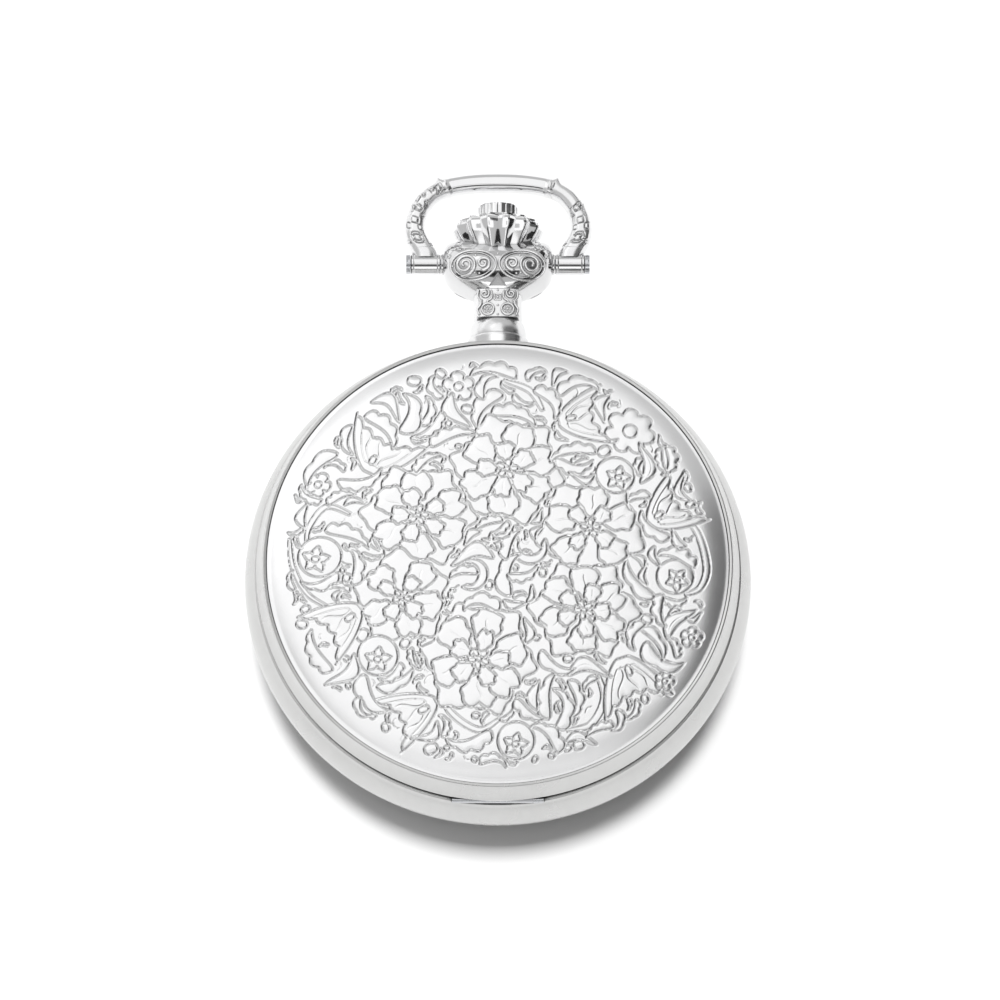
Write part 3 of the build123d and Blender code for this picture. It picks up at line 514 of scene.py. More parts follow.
def floral_cover(seed):
    """Six rosettes round a star, with lilies, fruit and leaves between them and out to the border."""
    rel = Relief()
    draw = np.random.default_rng(seed)
    for points, width in (
            ([(15.4, 5.6), (18.2, 3.2), (19.3, -0.4), (18.7, -2.6), (17.3, -3.3)], 0.30),
            ([(-19.2, 2.2), (-18.9, -0.6), (-17.6, -3.2), (-15.6, -4.6)], 0.25),
            ([(-5.2, -12.0), (-4.4, -14.6), (-1.8, -16.4), (0.2, -15.4)], 0.3),
            ([(9.2, -11.0), (9.8, -13.4), (8.6, -15.8), (6.4, -16.4)], 0.32),
            ([(-13.6, 4.4), (-15.8, 5.2), (-17.4, 3.2), (-17.6, 1.4)], 0.26),
            ([(4.2, 14.6), (3.0, 16.6), (0.6, 17.6)], 0.3)):
        vine(rel, points, width)
    for x, y, size, turn, spread, scallops in (
            (-12.0, 8.4, 4.6, 62, 1.15, 6), (5.6, 13.4, 4.4, 12, 0.95, 5), (14.0, 3.4, 4.5, 38, 0.9, 5),
            (-12.6, -4.6, 4.8, 218, 0.85, 5), (-5.6, -13.6, 4.9, 208, 0.8, 5),
            (11.4, -9.4, 4.9, 290, 1.0, 6)):
        tulip(rel, x, y, size, turn, spread, scallops)
    for x, y, r, lobes, turn in (
            (8.6, 2.9, 4.5, 5, 18), (0.9, 8.7, 4.9, 6, 79), (-7.3, 4.2, 4.7, 6, 148),
            (-8.8, -3.8, 4.1, 5, 203), (-1.7, -9.7, 4.9, 6, 262), (8.0, -5.0, 4.5, 6, 329)):
        rosette(rel, x, y, r, lobes, turn)
    for x, y, r, turn in [(-16.4, 0.3, 2.0, 10), (10.9, 8.2, 1.8, 150), (16.4, -1.6, 1.7, 200),
                          (-11.0, -9.3, 1.9, 300), (1.7, -17.4, 1.75, 80)]:
        fruit(rel, x, y, r, turn)
    crescent(rel, -2.4, -1.6, 1.5, 0)
    crescent(rel, 3.0, 1.0, 1.6, 265)
    rel.press(placed(petals(0.62, 5, 90, tip=0.5, notch=0.5, steps=50), -0.55, 1.5), depth=0.13)
    for x, y, r, turn in [(12.3, 12.6, 2.3, 35), (-3.6, 17.0, 1.5, 95), (17.9, -7.4, 1.0, 300),
                          (-16.6, 7.4, 1.2, 130), (15.4, -11.6, 0.9, 0)]:
        blossom(rel, x, y, r, turn, 5 if r < 2 else 7)
    for size in (3.9, 3.3, 2.8, 2.4, 2.0, 1.7, 1.4, 1.15, 0.95, 0.75):
        for _ in range(620):
            radius = 19.7 * math.sqrt(draw.uniform(0, 1))
            bearing = draw.uniform(0, 2 * math.pi)
            x, y = polar(0, 0, radius, bearing)
            turn = draw.uniform(0, 360)
            kind = draw.integers(0, 5)
            bend = draw.choice([-1, 1]) * draw.uniform(1.0, 2.3)
            if kind == 4 and size < 1.8:
                shape = pebble(size * 0.36, size * 0.28, 2.4)
            elif kind == 3:
                shape = leaf(size, size * draw.uniform(0.15, 0.21), 0.12 * bend)
            else:
                shape = frond(size * 1.2, size * draw.uniform(0.15, 0.21), bend, int(draw.integers(2, 5)))
            shape = placed(shape, x, y, turn)
            if rel.free(shape, 0.10):
                rel.press(shape)
                if kind == 3 and size > 1.6:
                    rel.score(placed(vein(size, 0.12 * bend), x, y, turn), depth=0.05, width=0.09)
    for _ in range(1500):
        radius = 19.5 * math.sqrt(draw.uniform(0, 1))
        bearing = draw.uniform(0, 2 * math.pi)
        a = np.radians(draw.uniform(0, 360)) + np.linspace(0, draw.uniform(1.4, 2.8), 8)
        r = draw.uniform(0.3, 0.7)
        x, y = polar(0, 0, radius, bearing)
        stroke = np.stack([x + r * np.cos(a), y + r * np.sin(a)], 1)
        if np.hypot(stroke[:, 0], stroke[:, 1]).max() > 19.6:
            continue
        cells = ((stroke + REACH) / STEP).astype(int)
        if not rel.used[cells[:, 1], cells[:, 0]].any():
            rel.score(stroke, depth=0.11, width=0.12)
    return rel


def disc_grid(count):
    """A square grid of points pulled into the unit disc without crowding."""
    u = np.linspace(-1, 1, count)
    a, b = np.meshgrid(u, u)
    x = a * np.sqrt(1 - b * b / 2)
    y = b * np.sqrt(1 - a * a / 2)
    return x.ravel(), y.ravel()


def cap(r, apex, edge_r, edge_z):
    """Height at r of the sphere that peaks at the apex and passes through the edge."""
    drop = apex - edge_z
    radius = (edge_r ** 2 + drop ** 2) / (2 * drop)
    return apex - radius + np.sqrt(radius * radius - np.asarray(r) ** 2)


def embossed_plate(name, rel, count, edge, surface, under, body, replaces, mirror=1):
    """A disc whose outer face carries the relief and whose inner face is plain."""
    ux, uy = disc_grid(count)
    x, y = ux * edge, uy * edge
    r = np.hypot(x, y)
    fade = ((20.7 - r) / 0.5).clip(0, 1)
    lift = rel.sample(x * mirror, y) * fade + GROUND * (1 - fade)
    slope_in = (r - BORDER_R).clip(0, ROLL_R - BORDER_R)
    slope_out = (r - ROLL_R).clip(0, 0.25)
    shoulder = 0.034 * slope_in ** 2 + 0.1428 * slope_out - 0.2856 * slope_out ** 2
    z = surface(r) + (lift - shoulder) * (1 if mirror == 1 else -1)
    ring = border(count, count)
    coarse = 12
    verts = list(zip(x, y, z))
    faces = skin(count, count, wrap=False)
    loops = [ring]
    for scale in [1 - k / coarse for k in range(coarse)]:
        loops.append(range(len(verts), len(verts) + len(ring)))
        verts += [(x[i] * scale, y[i] * scale, float(under(edge * scale))) for i in ring]
    n = len(ring)
    for a, b in zip(loops[:-1], loops[1:]):
        faces += [(a[i], b[i], b[(i + 1) % n], a[(i + 1) % n]) for i in range(n)]
    faces += [(b[i], len(verts), b[(i + 1) % n]) for i in range(n)]
    verts.append((0, 0, float(under(0))))
    return piece(name, verts, faces, relief_silver, body, replaces, sharp=60)


front = floral_cover(11)
embossed_plate("lid_dome_embossed", front, 580, 21.32,
               lambda r: cap(r, 14.0, 21.3, 12.74), lambda r: cap(r, 13.35, 21.3, 12.1), "lid", ["lid_dome"])


# ---------------------------------------------------------------- case and covers
def drum(x0, x1, y, z, r, steps=40):
    """A cylinder along X, as vertices and faces."""
    verts = []
    for x in (x0, x1):
        for i in range(steps):
            a = 2 * math.pi * i / steps
            verts.append((x, y + r * math.cos(a), z + r * math.sin(a)))
    return verts, ends(2, steps) + skin(2, steps)


def brick(x0, x1, y0, y1, z0, z1):
    """A box between two corners, as vertices and faces."""
    verts = [(x, y, z) for x in (x0, x1) for y in (y0, y1) for z in (z0, z1)]
    faces = [(0, 1, 3, 2), (4, 6, 7, 5), (0, 4, 5, 1), (2, 3, 7, 6), (0, 2, 6, 4), (1, 5, 7, 3)]
    return verts, faces


def join(*parts):
    """Several meshes as one."""
    verts = []
    faces = []
    for v, f in parts:
        base = len(verts)
        verts += list(v)
        faces += [tuple(base + i for i in face) for face in f]
    return verts, faces


rim_profile = ([(21.85, 10.03), (21.85, 10.28), (22.26, 10.28), (22.33, 10.33), (22.36, 10.42),
                (22.33, 10.53)]
               + arc(22.27, 10.62, 21.72, 12.60, -0.10, 12) + arc(21.70, 12.66, 21.60, 12.70, -0.01, 3)
               + [(21.40, 12.66), (21.34, 12.1), (20.78, 12.08), (20.78, 11.85), (21.15, 11.62),
                  (21.72, 10.1)])
rim = piece("lid_rim_band", *lathe(rim_profile, 384), satin, "lid", ["lid_rim"])
HINGE_SLOT = drum(-HINGE_HALF, HINGE_HALF, HINGE_Y, HINGE_Z, HINGE_SLOT_R)
cut(rim, raw(*HINGE_SLOT))
middle_profile = ([(22.2, 4.0), (22.42, 4.08)] + arc(22.52, 4.16, 22.58, 9.44, 0.93, 28)
                  + [(22.57, 9.54), (22.51, 9.63), (22.40, 9.67), (21.85, 9.68), (21.85, 9.98), (20.97, 10.0),
                     (20.97, 5.6), (20.3, 5.6), (20.3, 5.0), (20.97, 5.0), (20.97, 4.8), (21.4, 4.8),
                     (21.4, 4.05)])
middle = piece("case_middle_band", *lathe(middle_profile, 384), satin, "case", ["case_middle"])
cut(middle, raw(*HINGE_SLOT), raw(*brick(-1.9, 1.9, 19.9, 21.5, 5.8, 10.2)))
envelope = sorted([(z, r) for r, z in middle_profile if r > 21.8 and z > 9.0]
                  + [(z, r) for r, z in rim_profile if r > 21.8 and z < 11.2])


def knuckle(x0, x1):
    """A hinge knuckle whose outer side follows the outside of the case."""
    levels = [z for z, r in envelope]
    reach = [r for z, r in envelope]
    steps, around = 9, 120
    verts = []
    for i in range(steps):
        x = x0 + (x1 - x0) * i / (steps - 1)
        for k in range(around):
            a = 2 * math.pi * k / around
            y, z = HINGE_Y - KNUCKLE_R * math.cos(a), HINGE_Z + KNUCKLE_R * math.sin(a)
            limit = math.sqrt(float(np.interp(z, levels, reach)) ** 2 - x * x)
            verts.append((x, max(y, -limit), z))
    return verts, skin(steps, around) + ends(steps, around)


for k, (x0, x1, body) in enumerate([(-4.25, -2.54, "case"), (-0.81, 0.81, "case"), (2.54, 4.25, "case"),
                                    (-2.51, -0.84, "lid"), (0.84, 2.51, "lid")]):
    piece(f"hinge_knuckle_{k}", *knuckle(x0, x1), satin, body, sharp=40)
piece("lid_catch_lip", *brick(-1.5, 1.5, 21.0, 21.5, 10.92, 11.28), satin, "lid", bevel=0.04)
back = floral_cover(23)
back_plate = embossed_plate("back_cover_embossed", back, 400, 21.28,
                            lambda r: 1.3 * (np.maximum(r - 13, 0) / 8.65) ** 2.22,
                            lambda r: 0.7 + 0.9 * (max(0.0, r - 13) / 8.3) ** 2,
                            "case", ["back_cover"], mirror=-1)
back_profile = ([(21.3, 1.32), (21.6, 1.3)] + arc(21.72, 1.4, 22.46, 3.84, -0.10, 12)
                + [(22.4, 3.92), (22.2, 3.97)]
                + [(21.4, 3.97), (21.4, 4.75), (21.02, 4.75), (21.02, 3.6), (21.4, 3.3), (20.85, 1.95),
                   (21.3, 1.9)])
back_rim = piece("back_cover_rim", *lathe(back_profile, 384), satin, "case")


# ---------------------------------------------------------------- pendant, crown and bow
def spun(profile, steps=128, wave=None, closed=True):
    """A profile of (radius, y) turned about the winding axis; wave(angle, radius, y) may change it."""
    verts = []
    for i in range(steps):
        a = 2 * math.pi * i / steps
        for r, y in profile:
            rr = wave(a, r, y) if wave else r
            verts.append((rr * math.cos(a), y, MID_Z + rr * math.sin(a)))
    return verts, skin(steps, len(profile), loop=True, wrap=closed, flip=True)


def wire(path, radius, sides=8, closed=False):
    """A round wire along a path, with its thickness free to vary, and rounded off at open ends."""
    path = np.asarray(path, float)
    n = len(path)
    radius = np.broadcast_to(np.asarray(radius, float), (n,)).copy()
    if not closed:
        radius[0] *= 0.35
        radius[-1] *= 0.35
    ahead = np.roll(path, -1, 0) - np.roll(path, 1, 0) if closed else np.gradient(path, axis=0)
    ahead /= np.maximum(np.linalg.norm(ahead, axis=1), 1e-9)[:, None]
    side = np.cross(ahead, (0.0, 0.0, 1.0))
    side /= np.maximum(np.linalg.norm(side, axis=1), 1e-9)[:, None]
    lift = np.cross(side, ahead)
    verts = []
    for i in range(n):
        for k in range(sides):
            a = 2 * math.pi * k / sides
            verts.append(tuple(path[i] + radius[i] * (math.cos(a) * side[i] + math.sin(a) * lift[i])))
    return verts, skin(n, sides, loop=closed) + ([] if closed else ends(n, sides, flip=True))


def bead(x, y, z, r, squash=0.7, sides=14):
    """A small raised dot."""
    verts = [(x, y, z + r * squash)]
    rings = 4
    for k in range(1, rings + 1):
        t = math.pi * k / (rings + 1)
        for i in range(sides):
            a = 2 * math.pi * i / sides
            verts.append((x + r * math.sin(t) * math.cos(a), y + r * math.sin(t) * math.sin(a),
                          z + r * squash * math.cos(t)))
    foot = len(verts)
    verts.append((x, y, z - r * squash))
    pairs = [(i, (i + 1) % sides) for i in range(sides)]
    faces = [(0, 1 + i, 1 + j) for i, j in pairs]
    faces += [tuple(1 + v for v in quad) for quad in skin(rings, sides, flip=True)]
    faces += [(foot, foot - sides + j, foot - sides + i) for i, j in pairs]
    return verts, faces


def curl(x, y, r0, r1, start, turns, steps=46):
    """Points on a spiral round (x, y) from one radius to another."""
    t = np.linspace(0, 1, steps)
    a = np.radians(start) + 2 * math.pi * turns * t
    r = r0 + (r1 - r0) * t
    return np.stack([x + r * np.cos(a), y + r * np.sin(a)], 1)


def smooth(points, per=8):
    """A smooth line with a set number of points to each stretch."""
    return through(points, per * (len(points) - 1) + 1)


def laid(points, surface, lift=0.0, back=False):
    """Flat points set on a surface z(x, y) above the mid plane, on the front or the back."""
    points = np.asarray(points, float)
    z = surface(points[:, 0], points[:, 1]) + lift
    return np.stack([points[:, 0], points[:, 1], MID_Z + (-z if back else z)], 1)


def chaser(surface, back):
    """Tools that lay a wire or a dot on one face, and the list that they fill."""
    parts = []

    def line(points, lift, radius, sides=8, closed=False):
        parts.append(wire(laid(points, surface, lift, back), radius, sides, closed))

    def dot(x, y, lift, radius):
        parts.append(bead(*laid([(x, y)], surface, lift, back)[0], radius))

    return parts, line, dot


# Sections of the pendant's head: place along the axis, half width and half thickness.
HEAD = [(27.95, 2.2, 2.25), (28.2, 2.75, 2.45), (28.5, 3.3, 2.7), (28.85, 3.95, 2.92), (29.2, 4.5, 3.1),
        (29.6, 4.83, 3.25), (30.0, 5.05, 3.33), (30.5, 5.17, 3.36), (31.0, 5.2, 3.3), (31.3, 5.21, 3.2),
        (31.6, 5.22, 3.05), (32.0, 5.2, 2.8), (32.4, 5.1, 2.45), (32.7, 5.0, 2.1), (32.9, 4.88, 1.85),
        (33.0, 4.75, 1.7)]
HEAD_POWER = 3.2
head_y, head_x, head_z = np.array(HEAD).T


def head_top(x, y):
    """Height of the pendant's head above the mid plane."""
    hx = np.interp(y, head_y, head_x)
    hz = np.interp(y, head_y, head_z)
    return hz * (1 - (np.abs(x) / hx).clip(0, 0.98) ** HEAD_POWER) ** (1 / HEAD_POWER)


def boxed(v, power):
    """A sine or cosine pushed outward, which turns a circle into a rounded box."""
    return math.copysign(abs(v) ** (2 / power), v)


def head_body():
    """The pendant's head, lofted through the sections in HEAD."""
    rows, around = 44, 96
    verts = []
    for k in range(rows):
        y = head_y[0] + (head_y[-1] - head_y[0]) * k / (rows - 1)
        hx = np.interp(y, head_y, head_x)
        hz = np.interp(y, head_y, head_z)
        for i in range(around):
            a = 2 * math.pi * i / around
            verts.append((hx * boxed(math.cos(a), HEAD_POWER), y,
                          MID_Z + hz * boxed(math.sin(a), HEAD_POWER)))
    return verts, skin(rows, around) + ends(rows, around)


def notch(depth_z, top_z):
    """A three-cornered pocket whose floor leans toward the hinge."""
    low, high, half = 28.25, 29.35, 0.85
    outline = [(-half, low), (half, low), (0.0, high)]
    tilt = math.tan(math.radians(19))
    verts = [(x, y, depth_z + (y - low) * tilt) for x, y in outline] + [(x, y, top_z) for x, y in outline]
    return verts, ends(2, 3) + skin(2, 3)


head = piece("pendant_head_bowl", *head_body(), head_silver, "case", ["pendant_head"], sharp=40)
bore = spun([(0.001, 21.0), (1.56, 21.0), (1.56, 31.45), (2.62, 31.46), (4.22, 33.75), (0.001, 34.2)], 96)
cut(head, raw(*bore), raw(*notch(8.95, 12.0)))
for side in (-1, 1):
    boss = drum(side * 5.0, side * 5.33, PIVOT_Y, MID_Z, 1.0)
    piece("pendant_boss_left" if side < 0 else "pendant_boss_right", *boss, polished, "case", bevel=0.06)

neck_profile = ([(1.56, 22.05), (2.74, 22.05), (2.80, 22.3), (2.80, 23.2), (2.86, 23.35), (2.84, 23.55),
                 (2.62, 23.68)] + arc(2.60, 23.7, 2.42, 25.1, 0.10, 8)
                + [(2.28, 25.22), (2.24, 25.4), (2.24, 28.0), (2.30, 28.16), (1.56, 28.16)])
piece("neck_turned", *spun(neck_profile, 160), chased, "case", ["pendant_neck"], sharp=28)


def neck_top(x, y):
    """Height of the chased plate on the neck, nearly flat across."""
    return 2.42 - 0.05 * np.asarray(x) ** 2


def neck_plate(back):
    """The plate that the neck's scrolls stand on."""
    xs = np.linspace(-2.0, 2.0, 17)
    ys = np.linspace(25.25, 28.05, 8)
    verts = []
    for level in (0, 1):
        for y in ys:
            for x in xs:
                pinch = 1 - 0.07 * math.sin(math.pi * (y - 25.25) / 2.8)
                z = float(neck_top(x, y)) if level else 0.9
                verts.append((x * pinch, y, MID_Z + (-z if back else z)))
    across, along = len(xs), len(ys)
    size = across * along
    faces = skin(along, across, wrap=False)
    faces += [tuple(size + v for v in quad) for quad in skin(along, across, wrap=False, flip=True)]
    edge = border(along, across)
    faces += [(a, b, size + b, size + a) for a, b in zip(edge, edge[1:] + edge[:1])]
    return verts, faces


def medallion(side, back):
    """An oval with a double rim, a big scroll outside and a small one inside, on the head."""
    cx, cy, a, b = side * 2.28, 30.15, 2.14, 1.42
    t = np.linspace(0, 2 * math.pi, 72, endpoint=False)
    parts, line, dot = chaser(head_top, back)
    for grow, r in ((1.0, 0.12), (0.84, 0.06)):
        oval = np.stack([cx + a * grow * np.cos(t), cy + b * grow * np.sin(t)], 1)
        line(oval, 0.06, r, closed=True)
    start = 270 + 20 * side
    big = curl(cx + side * 0.80, cy, 1.06, 0.16, start, -2.0 * side)
    small = curl(cx - side * 0.92, cy + 0.06, 0.68, 0.13, start, -1.6 * side)
    thick = np.linspace(0.17, 0.12, len(big))
    line(big, 0.06, thick)
    line(small, 0.06, thick[:len(small)])
    for u, v in ((-0.12, -0.78), (-0.55, -0.86), (-0.22, 0.86), (1.95, 0.0)):
        dot(cx + side * u, cy + v, 0.0, 0.13)
    return parts


def shoulder_chasing(side, back):
    """Small curls and dots on the upper corner of the head."""
    parts, line, dot = chaser(head_top, back)
    for x, y, r, start, turns in ((4.2, 32.15, 0.34, 200, 1.1), (3.55, 31.95, 0.26, 20, -1.0),
                                  (4.62, 31.2, 0.24, 90, 1.0)):
        line(curl(0, 0, r, 0.08, start, turns, 26) * [side, 1] + [side * x, y], 0.01, 0.065, 6)
    for x, y in ((3.9, 32.6), (4.7, 31.75), (3.1, 31.8), (0.0, 31.2), (4.75, 30.6)):
        dot(side * x, y, 0.0, 0.11)
    return parts


def neck_chasing(back):
    """Scrolls, a small square and two rosettes on the face of the neck."""
    parts, line, dot = chaser(neck_top, back)
    for side in (-1, 1):
        edge = smooth([(side * 1.78, 27.95), (side * 1.86, 27.2), (side * 1.55, 26.6), (side * 1.9, 25.95),
                       (side * 1.7, 25.4)])
        line(edge, 0.07, 0.12)
        top = curl(0, 0, 0.46, 0.10, 100, 1.35, 34) * [side, 1] + [side * 1.22, 27.5]
        line(top, 0.07, 0.105)
        rise = smooth([(side * 0.62, 27.85), (side * 0.55, 27.1), (side * 1.0, 26.7), (side * 0.5, 26.4)])
        line(rise, 0.07, 0.09)
        ring = curl(side * 0.93, 25.98, 0.56, 0.56, 0, 1, 33)[:-1]
        line(ring, 0.07, 0.11, closed=True)
        for k in range(6):
            a = math.radians(60 * k)
            dot(*polar(side * 0.93, 25.98, 0.27, a), 0.02, 0.10)
        dot(side * 0.93, 25.98, 0.03, 0.12)
    square = [(-0.3, 26.9), (0.3, 26.9), (0.3, 27.45), (-0.3, 27.45)]
    loop = np.concatenate([np.linspace(square[i], square[(i + 1) % 4], 6)[:-1] for i in range(4)])
    line(loop, 0.03, 0.08, 6, closed=True)
    dot(0.0, 27.18, 0.02, 0.14)
    for x, y in ((0.0, 26.35), (0.0, 25.45), (0.0, 27.85), (1.5, 26.85), (-1.5, 26.85)):
        dot(x, y, 0.02, 0.11)
    return parts


for back_face in (False, True):
    where = "back" if back_face else "front"
    scrolls = [part for make in (medallion, shoulder_chasing) for side in (-1, 1)
               for part in make(side, back_face)]
    piece(f"pendant_scrolls_{where}", *join(*scrolls), chased, "case", sharp=60)
    piece(f"neck_plate_{where}", *neck_plate(back_face), chased, "case", bevel=0.06)
    piece(f"neck_chasing_{where}", *join(*neck_chasing(back_face)), chased, "case", sharp=60)


def flute(a, r, y):
    """Flat-sided flutes of the crown, deepest over its widest part."""
    depth = 0.36 * min(1.0, max(0.0, (y - 31.85) / 0.25)) * min(1.0, max(0.0, (35.5 - y) / 0.5))
    tooth = abs((a * 14 / (2 * math.pi)) % 1.0 - 0.5) * 2
    return r - depth * (1 - min(1.0, 1.12 * tooth)) if r > 2.05 else r


crown_profile = ([(2.03, 31.7), (2.35, 31.62)]
                 + [(2.6 + (3.95 - 2.6) * t, 31.9 + (33.7 - 31.9) * t) for t in np.linspace(0, 1, 10)]
                 + [(4.22, 34.25), (4.26, 34.45), (4.16, 34.72), (3.95, 34.92), (3.9, 34.96), (3.9, 35.1),
                    (3.62, 35.22), (2.9, 35.45), (2.45, 35.6), (2.02, 35.64)])
piece("crown_fluted", *spun(crown_profile, 336, flute), polished, "crown", ["crown"], sharp=24)


def knurl(a, r, y):
    """Sixteen grooves round the push button."""
    return r - 0.08 * (1 - abs(math.sin(8 * a)) ** 0.7) if r > 1.85 and 35.2 < y < 36.75 else r


button_profile = ([(0.001, 34.62), (1.93, 34.62), (1.94, 35.2), (1.94, 35.3), (1.94, 36.7), (1.94, 36.78)]
                  + arc(1.90, 36.84, 1.2, 37.1, -0.03, 5) + [(0.6, 37.17), (0.001, 37.2)])
piece("push_button_cap", *spun(button_profile, 240, knurl, closed=False), polished, "button", ["push_button"],
      sharp=24)

OUTER = [(7.8, 31.7), (8.0, 32.2), (8.6, 33.3), (8.85, 34.4), (8.78, 35.6), (8.25, 37.0), (7.3, 38.4),
         (6.0, 39.3), (4.6, 39.8), (2.4, 40.15), (0, 40.25)]
INNER = [(5.62, 31.7), (5.72, 32.4), (6.2, 33.3), (6.65, 34.2), (6.8, 35.0), (6.65, 36.0), (6.25, 36.8),
         (5.5, 37.6), (4.0, 38.2), (2.0, 38.45), (0, 38.5)]


def mirrored(half):
    """Half an outline and its mirror image."""
    return [(-x, y) for x, y in half] + [(x, y) for x, y in half[::-1][1:]]


# Each face of each leg has a strip of its own in the height map.
LANE_X, LANE_START, LEG_Y = 10.0, -7.4, 6.0


def leg_relief():
    """Scrolls, small squares, an eye-shaped flower and leaves along the two legs of the bow."""
    rel = Relief()
    fine = dict(depth=0.17, inner=0.07, outer=0.09, pillow=0.0)
    for side in (-1, 1):
        for lane in (-1, 1):
            y0 = LEG_Y * side
            x0 = LANE_X * lane + LANE_START
            rel.press(placed(pebble(0.62, 0.42, 2.0), x0 + 1.2, y0), **fine)
            rel.press(placed(pebble(0.34, 0.22, 2.0), x0 + 1.2, y0), **fine)
            for u, v, w, h in [(2.35, 0.42, 0.26, 0.2), (2.35, -0.42, 0.26, 0.2), (3.0, 0.0, 0.3, 0.24),
                               (4.9, 0.44, 0.26, 0.2), (4.9, -0.44, 0.26, 0.2)]:
                rel.press(placed(pebble(w, h, 6.0), x0 + u, y0 + 1.25 * v), **fine)
            for u, v, turn in [(3.65, 0.36, 30), (3.65, -0.36, -30), (0.5, 0.6, 60), (0.5, -0.6, -60),
                               (5.6, 0.3, 150), (6.1, -0.35, 20), (6.7, 0.35, -30), (7.3, -0.2, 60),
                               (7.9, 0.25, 10), (8.6, -0.2, 170)]:
                rel.press(placed(leaf(0.85, 0.17, 0.25), x0 + u, y0 + 1.25 * v, turn), **fine)
            for u, v, r in [(4.25, 0.0, 0.34), (5.5, -0.25, 0.2), (7.0, 0.0, 0.3), (8.3, 0.35, 0.2)]:
                rel.press(placed(petals(r, 5, 0, tip=0.0, notch=0.4, wave=0.0, steps=30),
                                 x0 + u, y0 + 1.25 * v), **fine)
    return rel


def bow_body():
    """The bow: chased legs, a plain polished bar between two pointed collars."""
    outer = smooth(mirrored(OUTER), 26)
    inner_line = smooth(mirrored(INNER), 26)
    rel = leg_relief()
    around = 72
    verts = []
    count = len(outer)
    centre = (outer + inner_line) / 2
    run = np.concatenate([[0], np.cumsum(np.hypot(*np.diff(centre, axis=0).T))])
    total = run[-1]
    for i in range(count):
        cx, cy = centre[i]
        dx, dy = (outer[i] - inner_line[i]) / 2
        s = min(run[i], total - run[i])
        right = cx > 0
        leg = 1.0 if abs(cx) > 4.75 else 0.0
        plain_leaf = right and 5.3 < abs(cx) < 7.35 and cy > 36.9
        tip = max(0.0, 1 - abs(abs(cx) - 5.35) / 0.42)
        collar = max(0.0, 1 - abs(abs(cx) - 4.78) / 0.30)
        width = math.hypot(dx, dy)
        power = 2.7 if leg else 2.8
        grow = 1.0 + (0.10 * collar)
        half_z = (1.12 if leg else 0.98) + 0.07 * collar
        for k in range(around):
            a = 2 * math.pi * k / around
            c, sn = math.cos(a), math.sin(a)
            u, w = boxed(c, power), boxed(sn, power)
            lift = 0.0
            if leg and not plain_leaf and s > 1.0:
                across = (a - math.pi / 2) if sn > 0 else (a - 3 * math.pi / 2)
                lane = -1 if sn > 0 else 1
                lift = float(rel.sample(np.array([LANE_X * lane + LANE_START + s - 0.9]),
                                        np.array([LEG_Y * (1 if right else -1) + across * 1.05]))[0])
                lift = lift * min(1.0, abs(sn) * 2.5)
            elif plain_leaf:
                lift = -0.10 + 0.12 * (1 - abs(c)) if sn > 0 else -0.05
            peak = 0.55 * tip if u > 0.2 else 0.0
            out = u * grow + (lift * c + peak * u) / width
            verts.append((cx + dx * out, cy + dy * out, MID_Z + w * half_z + lift * sn))
    return verts, skin(count, around, flip=True) + ends(count, around, flip=True)


bow_piece = piece("bow_chased", *bow_body(), chased, "bow", ["bow"], sharp=50)
cut(bow_piece, raw(*drum(-9.0, -5.2, PIVOT_Y, MID_Z, 0.97)), raw(*drum(5.2, 9.0, PIVOT_Y, MID_Z, 0.97)))
bow_piece.data.materials.append(polished)
for face in bow_piece.data.polygons:
    if abs(face.center.x) < 4.6 * MM:
        face.material_index = 1
for side in (-1, 1):
    lip = [(0.54, 0.0), (0.54, 2.78), (0.80, 2.78), (0.99, 2.70), (1.0, 2.55), (0.96, 2.5), (1.0, 2.44),
           (1.0, 0.34), (0.96, 0.28), (1.0, 0.22), (0.99, 0.08), (0.9, 0.0)]
    verts, faces = lathe(lip, 64)
    verts = [(side * (5.385 + z), PIVOT_Y + x, MID_Z + y) for x, y, z in verts]
    piece("bow_barrel_left" if side < 0 else "bow_barrel_right", verts, faces, polished, "bow", sharp=14)


# ---------------------------------------------------------------- dial
DIAL_TOP = 9.15
SECONDS_Y, SECONDS_TOP = -8.4, DIAL_TOP - 0.1
PRINT = 0.012


def bars(marks, low):
    """Thin upright bars of print; each mark is (x, y, bearing, length, width)."""
    parts = []
    for x, y, bearing, length, width in marks:
        c, s = math.cos(math.radians(bearing)), math.sin(math.radians(bearing))
        u, v = length / 2, width / 2
        corners = [(-u, -v), (u, -v), (u, v), (-u, v)]
        flat = [(x + u * c - v * s, y + u * s + v * c) for u, v in corners]
        verts = [(px, py, low) for px, py in flat] + [(px, py, low + PRINT) for px, py in flat]
        parts.append((verts, ends(2, 4) + skin(2, 4)))
    return parts


def hoop(x, y, r, width, low, steps=180):
    """A thin printed ring."""
    verts, faces = lathe([(r - width / 2, low), (r + width / 2, low), (r + width / 2, low + PRINT),
                          (r - width / 2, low + PRINT)], steps)
    return [(px + x, py + y, pz) for px, py, pz in verts], faces


def around_dial(x, y, radius, count, length, width, skip=0):
    """Marks round a circle, with every nth one left out if asked."""
    marks = []
    for k in range(count):
        if skip and k % skip == 0:
            continue
        bearing = 90 - 360 * k / count
        marks.append((*polar(x, y, radius, math.radians(bearing)), bearing, length, width))
    return marks


